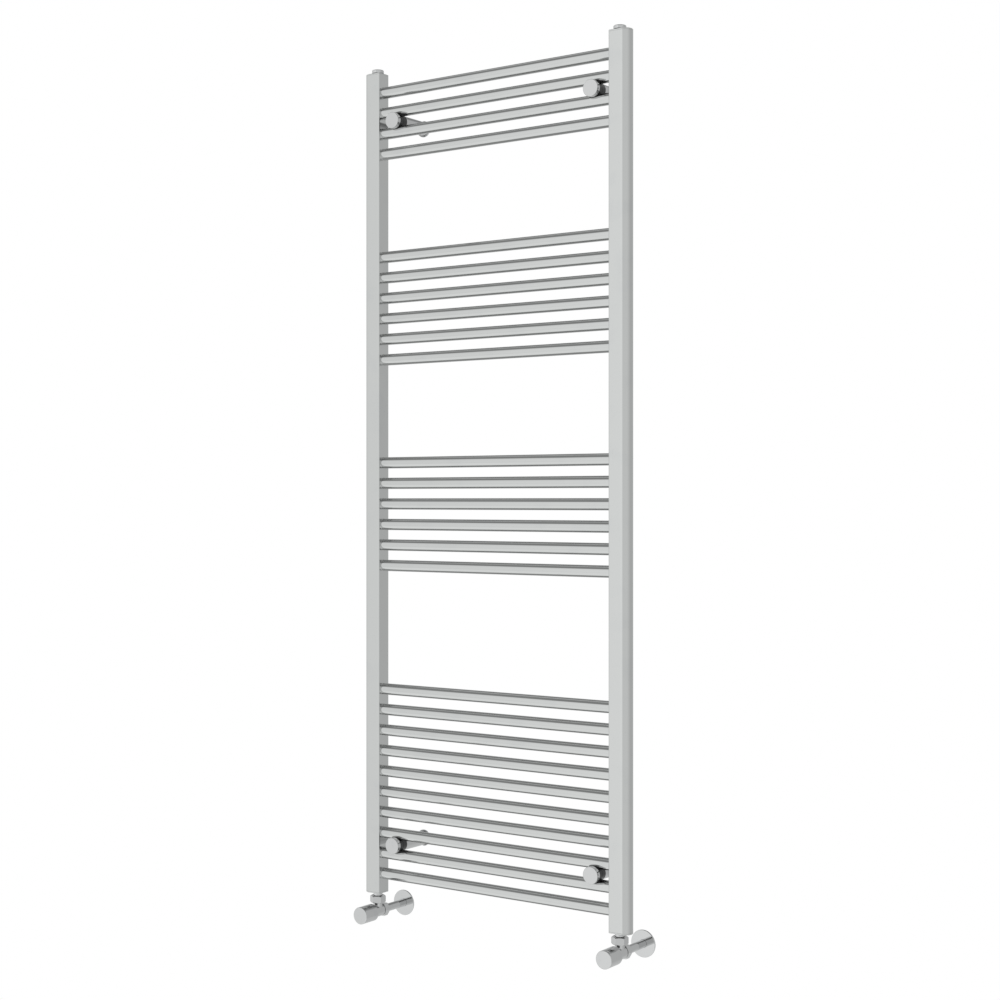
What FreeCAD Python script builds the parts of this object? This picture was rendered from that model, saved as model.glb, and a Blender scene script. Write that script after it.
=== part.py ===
"""Ladder towel radiator with an angled valve under each upright, in millimetres.

The origin is the middle of the four wall fixings, on the wall. +X runs along the
rungs, +Y points into the wall and +Z points up.
"""
import FreeCAD, Part
import math
import os
import re
import Sketcher

# Driving dimensions. Each one can be changed by itself; one that starts with = follows others.
SIZES = {
    # rail
    "rail_height": 1600,
    "inner_gap": 522,
    "wall_distance": 98,
    "upright_depth": 30,
    "upright_flat": 25,
    "upright_corner": 2,
    "upright_wall": 1.5,
    "end_plate": 2.5,
    # rungs
    "rung_radius": 11,
    "rung_wall": 1.2,
    "rung_pitch": 40,
    "rung_margin": 38.5,
    "rung_inset": 4,
    "rung_entry": 1.5,
    "braze_gap": 0.05,
    # threaded ports in the uprights' ends
    "port_offset": 15,
    "port_radius": 10.5,
    "socket_radius": 12.3,
    "socket_depth": 14,
    "thread_gap": 0.1,
    # top plugs and bleed screw
    "plug_radius": 11.5,
    "plug_height": 6.3,
    "plug_edge": 1.4,
    "plug_neck": 1.8,
    "plug_shank": 11,
    "bleed_radius": 2.5,
    "bleed_length": 9,
    "bleed_seat_radius": 1.2,
    "vent_radius": 0.8,
    "slot_width": 0.8,
    "slot_depth": 1.2,
    # wall brackets
    "bracket_margin": 35,
    "bracket_spread": "=inner_gap - 2 * bracket_margin",
    "bracket_proud": 4.75,
    "disc_radius": 15.5,
    "cover_thickness": 8.5,
    "cover_edge": 0.8,
    "disc_thickness": 1,
    "cover_boss": 1.5,
    "neck_radius": 14,
    "saddle_gap": 0.2,
    "saddle_split": 0.4,
    "rear_flange": 1.5,
    "rear_flange_clear": 0.293,
    "rear_flange_gap": "=sqrt((rung_radius + saddle_gap) ^ 2 - (rung_pitch / 2 - neck_radius) ^ 2)"
                       " + rear_flange_clear",
    "post_radius": 13.5,
    "post_nose": 14,
    "post_bore": 9.5,
    "cup_radius": 15.75,
    "cup_flange": 2.5,
    "cup_spigot": 22,
    "cup_web": 6,
    "cup_gap": 0.2,
    "cup_recess": 6,
    "sliding_gap": 0.05,
    "wall_screw_radius": 2.75,
    "clamp_radius": 3,
    "clamp_head": 5,
    "clamp_head_gap": 0.5,
    "clamp_head_height": 4.5,
    "clamp_length": 30,
    "clamp_key": 4,
    "clamp_key_depth": 2.5,
    "grub_radius": 2.5,
    "grub_key": 2.5,
    "grub_key_depth": 2,
    "grub_back": 14,
    # valve body and tail
    "valve_drop": 36.6,
    "barrel_radius": 11.3,
    "barrel_front": 20,
    "barrel_lap": 0.4,
    "inlet_wall": 2.5,
    "inlet_radius": "=pipe_radius + inlet_wall",
    "inlet_thread": 6.6,
    "riser_radius": 9,
    "outlet_radius": 11,
    "outlet_thread": 7.4,
    "outlet_bore": 4.5,
    "chamber_radius": 7,
    "bonnet_bore": 8,
    "bonnet_seat": 7,
    "seat_place": 5,
    "seat_radius": 4,
    "seat_wall": 2.5,
    "tail_neck": 6.5,
    "tail_radius": 8.75,
    "tail_bore": 6,
    "tail_flange_radius": 10.3,
    "tail_flange": 3,
    "tail_thread": 12,
    "union_flats": 27,
    "union_length": 13.5,
    "union_lip": 3,
    "nut_rounding": 0.4,
    # pipe connection
    "pipe_radius": 7.5,
    "pipe_wall": 1,
    "pipe_stub": 12,
    "mark_depth": 0.2,
    "mark_width": 0.6,
    "pipe_gap": 0.05,
    "olive_length": 3.5,
    "olive_crown": 1.8,
    "inlet_nut_land": 4,
    "inlet_nut_flats": "=2 * inlet_radius + inlet_nut_land",
    "inlet_nut_gap": 0.3,
    "inlet_nut_wall": 2,
    "plate_radius": 25,
    "plate_edge": 0.8,
    "plate_rise": 2.4,
    "plate_sheet": 1,
    "plate_gap": 0.15,
    # bonnet, spindles and jumpers
    "bonnet_front": 34,
    "bonnet_neck": 6,
    "bonnet_flange_radius": 10.5,
    "bonnet_flange": 6,
    "bonnet_flats": 19,
    "bonnet_shoulder": 2,
    "stem_radius": 3,
    "seal_radius": 0.75,
    "seal_place": 29,
    "collar_radius": 4.7,
    "collar_length": 1.9,
    "thread_radius": 2.2,
    "thread_length": 16,
    "jumper_flats": 9.6,
    "guide_gap": 0.1,
    "jumper_length": 16,
    "jumper_bore_depth": 14,
    "jumper_pin": 1.5,
    "washer_radius": 5.4,
    "washer_thickness": 1.5,
    "valve_travel": 4.5,
    "closed_gap": 0.02,
    "square_flats": 4.2,
    "square_length": 10,
    # handwheel and lockshield cap
    "wheel_radius": 16.4,
    "wheel_face": 55.1,
    "wheel_length": 37,
    "wheel_wall": 2,
    "wheel_front": 3,
    "wheel_edge": 0.8,
    "hub_radius": 6.5,
    "cap_hub_wall": 2,
    "cap_grip": 7,
    "lock_stem": 42,
}

# Rungs in each group from the top, and the shares of the free height left between groups.
RUNG_GROUPS = (4, 6, 6, 10)
TOWEL_GAPS = (5, 5, 6)

UP = FreeCAD.Rotation()
RIGHT = FreeCAD.Rotation(FreeCAD.Vector(0, 1, 0), 90)
BACK = FreeCAD.Rotation(FreeCAD.Vector(1, 0, 0), -90)
FRONT = FreeCAD.Rotation(FreeCAD.Vector(1, 0, 0), 90)

QUARTER = math.pi / 2

# Places that several pieces share, written with the names in SIZES.
HALF_HEIGHT = "rail_height / 2"
MID_DEPTH = "-(wall_distance - upright_depth / 2)"
RUNG_Y = "-(wall_distance - rung_inset - rung_radius)"
PORT_X = "inner_gap / 2 + port_offset"
VALVE_Z = "-(rail_height / 2 + valve_drop)"
BRACKET_X = "bracket_spread / 2"
BRACKET_Z = "(rail_height / 2 - rung_margin - 1.5 * rung_pitch)"
BRACKET_FACE = "-(wall_distance + bracket_proud)"
BARREL_END = "riser_radius + barrel_lap"
INLET_END = BARREL_END + " + inlet_thread"
BONNET_END = "wheel_face - bonnet_front"

doc = FreeCAD.newDocument("RadiatorWithValve")
sheet = doc.addObject("Spreadsheet::Sheet", "Sizes")
nodes = {}


def fill_sheet():
    """Write every driving dimension into the sheet and give its cell an alias."""
    for row, name in enumerate(SIZES, 1):
        sheet.set(f"A{row}", name)
        sheet.setAlias(f"B{row}", name)
    for row, value in enumerate(SIZES.values(), 1):
        sheet.set(f"B{row}", str(value))
    doc.recompute()


def cells(text):
    """Turn the names of sizes in an expression into references to the sheet."""
    return re.sub(r"\b[a-z][a-z_]+\b(?!\()", lambda found: "Sizes." + found.group(0), text)


def number(text):
    """The value that an expression has now, in millimetres."""
    value = sheet.evalExpression(cells(text))
    return float(getattr(value, "Value", value))


def bind(piece, **sizes):
    """Bind properties of a piece to expressions on the sheet."""
    for prop, text in sizes.items():
        piece.setExpression(prop, cells(text))


def put(piece, x="0", y="0", z="0", turn=UP):
    """Turn a piece and bind its place to the sheet."""
    piece.Placement = FreeCAD.Placement(FreeCAD.Vector(), turn)
    for axis, text in (("x", x), ("y", y), ("z", z)):
        piece.setExpression("Placement.Base." + axis, cells(text))
    return piece


def rod(radius, length, x="0", y="0", z="0", turn=UP):
    """A solid cylinder."""
    piece = doc.addObject("Part::Cylinder", "Rod")
    bind(piece, Radius=radius, Height=length)
    return put(piece, x, y, z, turn)


def ring(major, minor, x, y, z, turn):
    """A torus."""
    piece = doc.addObject("Part::Torus", "Ring")
    bind(piece, Radius1=major, Radius2=minor)
    return put(piece, x, y, z, turn)


def hexagon(flats, length, x, y, z, turn):
    """A six-sided bar, given by its width across flats."""
    piece = doc.addObject("Part::Prism", "Hexagon")
    piece.Polygon = 6
    bind(piece, Circumradius=f"({flats}) / 2 / cos(30)", Height=length)
    return put(piece, x, y, z, turn)


def block(length, width, height, x, y, z):
    """A box whose place is its lowest corner."""
    piece = doc.addObject("Part::Box", "Block")
    bind(piece, Length=length, Width=width, Height=height)
    return put(piece, x, y, z)


def cut(base, *tools):
    """The base with every tool taken away."""
    for tool in tools:
        piece = doc.addObject("Part::Cut", "Cut")
        piece.Base = base
        piece.Tool = tool
        base = piece
    return base


def fuse(*pieces):
    """Several pieces joined into one solid."""
    piece = doc.addObject("Part::MultiFuse", "Fuse")
    piece.Shapes = list(pieces)
    piece.Refine = True
    return piece


def common(first, second):
    """What two pieces share."""
    piece = doc.addObject("Part::Common", "Common")
    piece.Base = first
    piece.Tool = second
    return piece


def across(source):
    """The same piece on the other side of the rail's middle plane."""
    piece = doc.addObject("Part::Mirroring", "Across")
    piece.Source = source
    piece.Normal = FreeCAD.Vector(1, 0, 0)
    return piece


def group(*pieces):
    """Separate solids kept together as one piece of the list."""
    piece = doc.addObject("Part::Compound", "Group")
    piece.Links = list(pieces)
    return piece


def both_sides(source):
    """A piece and its twin on the other upright."""
    return group(source, across(source))


def four(builder):
    """One piece at each bracket or port: upper and lower rows, right and left."""
    rows = [builder(1), builder(-1)]
    return group(*rows, *(across(row) for row in rows))


def node(label, piece):
    """Name a finished piece."""
    piece.Label = label
    nodes[label] = piece
    return piece


def origin_plane(body, role):
    """One of a body's own origin planes."""
    return next(item for item in body.Origin.OriginFeatures if item.Role == role)


def hold(sketch, kind, index, point, text):
    """Hold a sketch point at a distance from the sketch's origin along one axis."""
    value = number(text)
    if abs(value) < 1e-9:
        axis = -2 if kind == "DistanceX" else -1
        sketch.addConstraint(Sketcher.Constraint("PointOnObject", index, point, axis))
        return
    place = sketch.addConstraint(Sketcher.Constraint(kind, -1, 1, index, point, value))
    sketch.setExpression(f"Constraints[{place}]", cells(text))


def turned(outline, x="0", y="0", z="0", turn=UP):
    """A turned piece from a closed outline of (radius, height) corners about its axis."""
    body = doc.addObject("PartDesign::Body", "Turned")
    sketch = body.newObject("Sketcher::SketchObject", "Outline")
    sketch.AttachmentSupport = (origin_plane(body, "XZ_Plane"), [""])
    sketch.MapMode = "FlatFace"
    corners = [FreeCAD.Vector(number(radius), number(height), 0) for radius, height in outline]
    for index, corner in enumerate(corners):
        following = corners[(index + 1) % len(corners)]
        sketch.addGeometry(Part.LineSegment(corner, following), False)
    for index, (radius, height) in enumerate(outline):
        before = (index - 1) % len(outline)
        sketch.addConstraint(Sketcher.Constraint("Coincident", before, 2, index, 1))
        hold(sketch, "DistanceX", index, 1, radius)
        hold(sketch, "DistanceY", index, 1, height)
    doc.recompute()
    revolution = body.newObject("PartDesign::Revolution", "Revolution")
    revolution.Profile = sketch
    revolution.ReferenceAxis = (sketch, ["V_Axis"])
    revolution.Angle = 360
    return put(body, x, y, z, turn)


def upright_section(body, inset):
    """The D section, inset from the outside: flat towards the rungs, round on the outer side."""
    sketch = body.newObject("Sketcher::SketchObject", "Section")
    sketch.AttachmentSupport = (origin_plane(body, "XY_Plane"), [""])
    sketch.MapMode = "FlatFace"
    half = number(f"upright_depth / 2 - {inset}")
    flat = number("upright_flat")
    side = number(inset)
    corner = number(f"upright_corner - {inset} / 2")
    point = FreeCAD.Vector
    axis = point(0, 0, 1)
    sketch.addGeometry(Part.LineSegment(point(side + corner, -half, 0), point(flat, -half, 0)), False)
    round_side = Part.Circle(point(flat, 0, 0), axis, half)
    sketch.addGeometry(Part.ArcOfCircle(round_side, -QUARTER, QUARTER), False)
    sketch.addGeometry(Part.LineSegment(point(flat, half, 0), point(side + corner, half, 0)), False)
    rear = Part.Circle(point(side + corner, half - corner, 0), axis, corner)
    sketch.addGeometry(Part.ArcOfCircle(rear, QUARTER, 2 * QUARTER), False)
    flat_end = point(side, half - corner, 0)
    sketch.addGeometry(Part.LineSegment(flat_end, point(side, corner - half, 0)), False)
    front = Part.Circle(point(side + corner, corner - half, 0), axis, corner)
    sketch.addGeometry(Part.ArcOfCircle(front, 2 * QUARTER, 3 * QUARTER), False)
    joins = ((0, 2, 1, 1), (1, 2, 2, 1), (2, 2, 3, 1), (3, 2, 4, 1), (4, 2, 5, 1), (5, 2, 0, 1))
    for first, end, second, start in joins:
        sketch.addConstraint(Sketcher.Constraint("Tangent", first, end, second, start))
    sketch.addConstraint(Sketcher.Constraint("Horizontal", 0))
    sketch.addConstraint(Sketcher.Constraint("Vertical", 4))
    sketch.addConstraint(Sketcher.Constraint("Equal", 3, 5))
    sketch.addConstraint(Sketcher.Constraint("PointOnObject", 1, 3, -1))
    hold(sketch, "DistanceX", 1, 3, "upright_flat")
    hold(sketch, "DistanceX", 4, 1, inset)
    hold(sketch, "DistanceY", 2, 1, f"upright_depth / 2 - {inset}")
    radius = sketch.addConstraint(Sketcher.Constraint("Radius", 5, corner))
    sketch.setExpression(f"Constraints[{radius}]", cells(f"upright_corner - {inset} / 2"))
    doc.recompute()
    return sketch


def d_bar(length, x, y, z):
    """A solid bar of the uprights' outer section."""
    body = doc.addObject("PartDesign::Body", "Upright")
    sketch = upright_section(body, "0")
    pad = body.newObject("PartDesign::Pad", "Pad")
    pad.Profile = sketch
    bind(pad, Length=length)
    return put(body, x, y, z)


def rung_heights():
    """Expressions for the rungs' heights, from the top rung down."""
    steps = sum(count - 1 for count in RUNG_GROUPS)
    share = f"(rail_height - 2 * rung_margin - {steps} * rung_pitch) / {sum(TOWEL_GAPS)}"
    heights = []
    pitches = 0
    shares = 0
    for count, gap in zip(RUNG_GROUPS, (*TOWEL_GAPS, 0)):
        for place in range(count):
            fall = f"({pitches + place} * rung_pitch + {shares} * {share})"
            heights.append(f"rail_height / 2 - rung_margin - {fall}")
        pitches += count - 1
        shares += gap
    return heights


def build_rungs():
    """Cross tubes, each brazed into a hole in both uprights."""
    reach = "inner_gap / 2 + upright_wall + rung_entry"
    for index, height in enumerate(rung_heights(), 1):
        outer = rod("rung_radius", f"2 * ({reach})", f"-({reach})", RUNG_Y, height, RIGHT)
        bore = rod("rung_radius - rung_wall", f"2 * ({reach})", f"-({reach})", RUNG_Y, height, RIGHT)
        node(f"rung_{index:02d}", cut(outer, bore))


def build_uprights():
    """D-section tubes with a hole for every rung, closed by plates that hold the ports."""
    length = "rail_height - 2 * end_plate"
    body = d_bar(length, "inner_gap / 2", MID_DEPTH, "-(rail_height / 2 - end_plate)")
    inner = upright_section(body, "upright_wall")
    pocket = body.newObject("PartDesign::Pocket", "Pocket")
    pocket.Profile = inner
    pocket.Reversed = True
    pocket.Type = "Length"
    bind(pocket, Length=length)
    hole_length = "2 * upright_wall + rung_entry + braze_gap"
    holes = [
        rod("rung_radius + braze_gap", hole_length, "inner_gap / 2 - upright_wall", RUNG_Y, height, RIGHT)
        for height in rung_heights()
    ]
    right = node("collector_right", cut(body, group(*holes)))
    node("collector_left", across(right))

    def end_plate(row):
        low = HALF_HEIGHT + " - end_plate" if row > 0 else "-rail_height / 2"
        plate = d_bar("end_plate", "inner_gap / 2", MID_DEPTH, low)
        return cut(plate, rod("socket_radius + braze_gap", "end_plate", PORT_X, MID_DEPTH, low))

    def socket(row):
        low = HALF_HEIGHT + " - socket_depth" if row > 0 else "-rail_height / 2"
        outer = rod("socket_radius", "socket_depth", PORT_X, MID_DEPTH, low)
        return cut(outer, rod("port_radius", "socket_depth", PORT_X, MID_DEPTH, low))

    node("collector_end_plates", four(end_plate))
    node("port_sockets", four(socket))


def plug():
    """A domed plug whose shank screws into a top port."""
    top = "plug_shank + plug_neck + plug_height"
    outline = [
        ("0", "0"),
        ("port_radius - thread_gap", "0"),
        ("port_radius - thread_gap", "plug_shank + plug_neck"),
        ("plug_radius", "plug_shank + plug_neck"),
        ("plug_radius", top + " - plug_edge"),
        ("plug_radius - plug_edge", top),
        ("0", top),
    ]
    return turned(outline, PORT_X, MID_DEPTH, HALF_HEIGHT + " - plug_shank")


def build_plugs():
    """Blanking plug on the left, vent plug with its bleed screw on the right."""
    top = HALF_HEIGHT + " + plug_neck + plug_height"
    node("blanking_plug", across(plug()))
    hole_radius = "bleed_radius + sliding_gap"
    screw_low = top + " - bleed_length"
    hole = rod(hole_radius, "bleed_length", PORT_X, MID_DEPTH, screw_low)
    feed = rod("bleed_seat_radius", "plug_shank + plug_neck + plug_height", PORT_X, MID_DEPTH,
               HALF_HEIGHT + " - plug_shank")
    vent = rod("vent_radius", "plug_radius", PORT_X, MID_DEPTH,
               HALF_HEIGHT + " + plug_neck + plug_height / 2", BACK)
    node("vent_plug", cut(plug(), hole, feed, vent))
    outline = [
        ("0", "closed_gap"),
        ("bleed_seat_radius", "closed_gap"),
        ("bleed_radius", "closed_gap + bleed_radius - bleed_seat_radius"),
        ("bleed_radius", "bleed_length"),
        ("0", "bleed_length"),
    ]
    screw = turned(outline, PORT_X, MID_DEPTH, screw_low)
    slot = block("2 * plug_radius", "slot_width", "slot_depth", PORT_X + " - plug_radius",
                 MID_DEPTH + " - slot_width / 2", top + " - slot_depth")
    node("bleed_screw", cut(screw, slot))
    seal = ring("port_radius - thread_gap + plug_neck / 2", "plug_neck / 2", PORT_X, MID_DEPTH,
                HALF_HEIGHT + " + plug_neck / 2", UP)
    node("plug_o_rings", both_sides(seal))


def height_of(row):
    """The height of the upper or lower bracket row."""
    return BRACKET_Z if row > 0 else "-" + BRACKET_Z


def neck(front, length, row):
    """A saddle block hollowed to sit between two rungs."""
    height = height_of(row)
    body = rod("neck_radius", length, BRACKET_X, front, height, BACK)
    reach = "bracket_spread / 2 - 2 * neck_radius"
    rungs = [
        rod("rung_radius + saddle_gap", "4 * neck_radius", reach, RUNG_Y,
            f"{height} {side} rung_pitch / 2", RIGHT)
        for side in "+-"
    ]
    return cut(body, *rungs)


def build_brackets():
    """Four clamps on the rungs, each on a post that slides over a cup screwed to the wall."""
    disc_face = BRACKET_FACE + " + cover_thickness"
    neck_face = disc_face + " + disc_thickness"
    split_front = RUNG_Y + " - saddle_split / 2"
    split_back = RUNG_Y + " + saddle_split / 2"
    flange_face = RUNG_Y + " + rear_flange_gap"
    post_face = flange_face + " + rear_flange"
    head_radius = "clamp_head + clamp_head_gap"
    screw_face = disc_face + " + cover_boss + cup_gap"
    head_seat = screw_face + " + clamp_head_height"

    def cover(row):
        outline = [
            ("0", "0"),
            ("disc_radius - cover_edge", "0"),
            ("disc_radius", "cover_edge"),
            ("disc_radius", "cover_thickness"),
            ("clamp_head", "cover_thickness"),
            ("clamp_head", "cover_thickness + cover_boss"),
            ("0", "cover_thickness + cover_boss"),
        ]
        return turned(outline, BRACKET_X, BRACKET_FACE, height_of(row), BACK)

    def front_saddle(row):
        height = height_of(row)
        disc = rod("disc_radius", "disc_thickness", BRACKET_X, disc_face, height, BACK)
        block_piece = neck(neck_face, f"{split_front} - ({neck_face})", row)
        recess = rod(head_radius, f"{head_seat} - ({disc_face})", BRACKET_X, disc_face, height, BACK)
        hole = rod("clamp_radius + thread_gap", f"{split_front} - ({disc_face})", BRACKET_X, disc_face,
                   height, BACK)
        return cut(fuse(disc, block_piece), recess, hole)

    def rear_saddle(row):
        height = height_of(row)
        block_piece = neck(split_back, f"{flange_face} - ({split_back})", row)
        flange = rod("neck_radius", "rear_flange", BRACKET_X, flange_face, height, BACK)
        hole = rod("clamp_radius + thread_gap", f"{post_face} - ({split_back})", BRACKET_X, split_back,
                   height, BACK)
        return cut(fuse(block_piece, flange), hole)

    def post(row):
        height = height_of(row)
        post_end = "-(cup_flange + cup_gap)"
        bar = rod("post_radius", f"{post_end} - ({post_face})", BRACKET_X, post_face, height, BACK)
        thread = rod("clamp_radius + thread_gap", "post_nose", BRACKET_X, post_face, height, BACK)
        bore_face = post_face + " + post_nose"
        bore = rod("post_bore", f"{post_end} - ({bore_face})", BRACKET_X, bore_face, height, BACK)
        grub_hole = rod("grub_radius + thread_gap", "post_radius", BRACKET_X, "-grub_back",
                        f"{height} - post_radius")
        return cut(bar, thread, bore, grub_hole)

    def clamp_screw(row):
        height = height_of(row)
        head = rod("clamp_head", "clamp_head_height", BRACKET_X, screw_face, height, BACK)
        shank = rod("clamp_radius", "clamp_length", BRACKET_X, head_seat, height, BACK)
        key = hexagon("clamp_key", "clamp_key_depth", BRACKET_X, screw_face, height, BACK)
        return cut(fuse(head, shank), key)

    def grub_screw(row):
        low = f"{height_of(row)} - post_radius"
        screw = rod("grub_radius", "post_radius - post_bore", BRACKET_X, "-grub_back", low)
        return cut(screw, hexagon("grub_key", "grub_key_depth", BRACKET_X, "-grub_back", low, UP))

    def cup(row):
        height = height_of(row)
        flange = rod("cup_radius", "cup_flange", BRACKET_X, "-cup_flange", height, BACK)
        spigot_face = "-(cup_flange + cup_spigot)"
        spigot = rod("post_bore - sliding_gap", "cup_spigot", BRACKET_X, spigot_face, height, BACK)
        recess = rod("cup_recess", "cup_flange + cup_spigot - cup_web", BRACKET_X, spigot_face,
                     height, BACK)
        hole = rod("wall_screw_radius", "cup_web", BRACKET_X, "-cup_web", height, BACK)
        return cut(fuse(flange, spigot), recess, hole)

    node("bracket_front_covers", four(cover))
    node("bracket_front_saddles", four(front_saddle))
    node("bracket_rear_saddles", four(rear_saddle))
    node("bracket_posts", four(post))
    node("bracket_clamp_screws", four(clamp_screw))
    node("bracket_grub_screws", four(grub_screw))
    node("bracket_wall_cups", four(cup))


def valve_y(place):
    """A place along the valve's axis, counted from the port's axis towards the wall."""
    return f"{MID_DEPTH} + ({place})"


def build_valve_bodies():
    """Angled bodies: bonnet in front, pipe behind, union up to the upright."""
    outlet_top = "valve_drop - tail_neck - union_lip - tail_flange - sliding_gap"
    barrel = rod("barrel_radius", "barrel_front + " + BARREL_END, PORT_X, valve_y("-barrel_front"),
                 VALVE_Z, BACK)
    inlet = rod("inlet_radius", INLET_END, PORT_X, MID_DEPTH, VALVE_Z, BACK)
    riser = rod("riser_radius", outlet_top, PORT_X, MID_DEPTH, VALVE_Z)
    outlet = rod("outlet_radius", "outlet_thread", PORT_X, MID_DEPTH,
                 f"{VALVE_Z} + {outlet_top} - outlet_thread")
    front_bore = rod("bonnet_bore", "barrel_front - bonnet_seat", PORT_X, valve_y("-barrel_front"),
                     VALVE_Z, BACK)
    chamber = rod("chamber_radius", "bonnet_seat + seat_place", PORT_X, valve_y("-bonnet_seat"),
                  VALVE_Z, BACK)
    seat = rod("seat_radius", "seat_wall", PORT_X, valve_y("seat_place"), VALVE_Z, BACK)
    socket_face = "seat_place + seat_wall"
    socket = rod("pipe_radius + pipe_gap", f"{INLET_END} - ({socket_face})", PORT_X, valve_y(socket_face),
                 VALVE_Z, BACK)
    way_up = rod("outlet_bore", outlet_top, PORT_X, MID_DEPTH, VALVE_Z)
    right = node("handwheel_valve_body",
                 cut(fuse(barrel, inlet, riser, outlet), front_bore, chamber, seat, socket, way_up))
    node("lockshield_valve_body", across(right))


def build_unions():
    """Tails screwed into the bottom ports, and the nuts that pull the valves up to them."""
    flange_low = f"-({HALF_HEIGHT} + tail_neck + union_lip + tail_flange)"
    neck_low = "tail_flange"
    thread_low = "tail_flange + union_lip + tail_neck"
    top = thread_low + " + tail_thread"
    outline = [
        ("tail_bore", "0"),
        ("tail_flange_radius", "0"),
        ("tail_flange_radius", neck_low),
        ("tail_radius", neck_low),
        ("tail_radius", thread_low),
        ("port_radius - thread_gap", thread_low),
        ("port_radius - thread_gap", top),
        ("tail_bore", top),
    ]
    node("valve_tails", both_sides(turned(outline, PORT_X, MID_DEPTH, flange_low)))
    nut_low = f"-({HALF_HEIGHT} + tail_neck + union_length)"
    corners_front = FreeCAD.Rotation(FreeCAD.Vector(0, 0, 1), 90)
    nut = hexagon("union_flats", "union_length", PORT_X, MID_DEPTH, nut_low, corners_front)
    rounding = rod("union_flats / 2 / cos(30) - nut_rounding", "union_length", PORT_X, MID_DEPTH, nut_low)
    thread = rod("outlet_radius + thread_gap", "union_length - union_lip", PORT_X, MID_DEPTH, nut_low)
    lip = rod("tail_radius + thread_gap", "union_length", PORT_X, MID_DEPTH, nut_low)
    node("union_nuts", both_sides(cut(common(nut, rounding), thread, lip)))


def build_pipe_joints():
    """Compression nuts, olives, pipes and the plates that cover the pipes' holes in the wall."""
    start = BARREL_END + " + inlet_nut_gap"
    threaded = "inlet_thread - inlet_nut_gap + olive_length"
    length = threaded + " + inlet_nut_wall"
    nut = hexagon("inlet_nut_flats", length, PORT_X, valve_y(start), VALVE_Z, BACK)
    rounding = rod("inlet_nut_flats / 2 / cos(30) - nut_rounding", length, PORT_X, valve_y(start),
                   VALVE_Z, BACK)
    thread = rod("inlet_radius + thread_gap", threaded, PORT_X, valve_y(start), VALVE_Z, BACK)
    way = rod("pipe_radius + thread_gap", length, PORT_X, valve_y(start), VALVE_Z, BACK)
    node("compression_nuts", both_sides(cut(common(nut, rounding), thread, way)))

    crown = "pipe_radius + olive_crown"
    shoulder = "pipe_radius + olive_crown / 2"
    olive = [
        ("pipe_radius", "0"),
        (shoulder, "0"),
        (crown, "olive_length / 2"),
        (shoulder, "olive_length"),
        ("pipe_radius", "olive_length"),
    ]
    node("olives", both_sides(turned(olive, PORT_X, valve_y(INLET_END), VALVE_Z, BACK)))

    first = "seat_place + seat_wall + pipe_gap"
    to_wall = f"wall_distance - upright_depth / 2 - ({first})"
    bore = "pipe_radius - pipe_wall"
    marked = "pipe_radius - mark_depth"
    pipe = [
        (bore, "0"),
        ("pipe_radius", "0"),
        ("pipe_radius", to_wall + " - mark_width"),
        (marked, to_wall + " - mark_width"),
        (marked, to_wall),
        ("pipe_radius", to_wall),
        ("pipe_radius", to_wall + " + pipe_stub"),
        (bore, to_wall + " + pipe_stub"),
    ]
    node("pipes", both_sides(turned(pipe, PORT_X, valve_y(first), VALVE_Z, BACK)))

    hole = "pipe_radius + plate_gap"
    cover = [
        ("plate_radius - plate_sheet", "0"),
        ("plate_radius", "0"),
        ("plate_radius", "plate_rise - plate_edge"),
        ("plate_radius - plate_edge", "plate_rise"),
        (hole, "plate_rise"),
        (hole, "plate_rise - plate_sheet"),
        ("plate_radius - plate_sheet", "plate_rise - plate_sheet"),
    ]
    plate = turned(cover, PORT_X, "0", VALVE_Z, FRONT)
    node("handwheel_pipe_plate", plate)
    node("lockshield_pipe_plate", across(plate))


def build_bonnets():
    """Bonnets screwed into the valve bodies, with the seal for the spindle."""
    total = "bonnet_front - bonnet_seat"
    flange_low = "bonnet_front - barrel_front - bonnet_flange"
    flange_high = "bonnet_front - barrel_front"
    outline = [
        ("stem_radius + sliding_gap", "0"),
        ("bonnet_neck", "0"),
        ("bonnet_neck", flange_low),
        ("bonnet_flange_radius", flange_low),
        ("bonnet_flange_radius", flange_high),
        ("bonnet_bore - thread_gap", flange_high),
        ("bonnet_bore - thread_gap", total),
        ("stem_radius + sliding_gap", total),
    ]
    front = valve_y("-bonnet_front")
    bonnet = turned(outline, PORT_X, front, VALVE_Z, BACK)
    shape = hexagon("bonnet_flats", total, PORT_X, front, VALVE_Z, BACK)
    guide_face = "-(barrel_front + bonnet_shoulder)"
    guide = hexagon("jumper_flats + 2 * guide_gap", "barrel_front + bonnet_shoulder - bonnet_seat",
                    PORT_X, valve_y(guide_face), VALVE_Z, BACK)
    groove = rod("stem_radius + guide_gap + 2 * seal_radius", "2 * seal_radius", PORT_X,
                 valve_y("-seal_place - seal_radius"), VALVE_Z, BACK)
    node("bonnets", both_sides(cut(common(bonnet, shape), guide, groove)))
    seal = ring("stem_radius + guide_gap + seal_radius", "seal_radius", PORT_X, valve_y("-seal_place"),
                VALVE_Z, BACK)
    node("spindle_seals", both_sides(seal))


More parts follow.
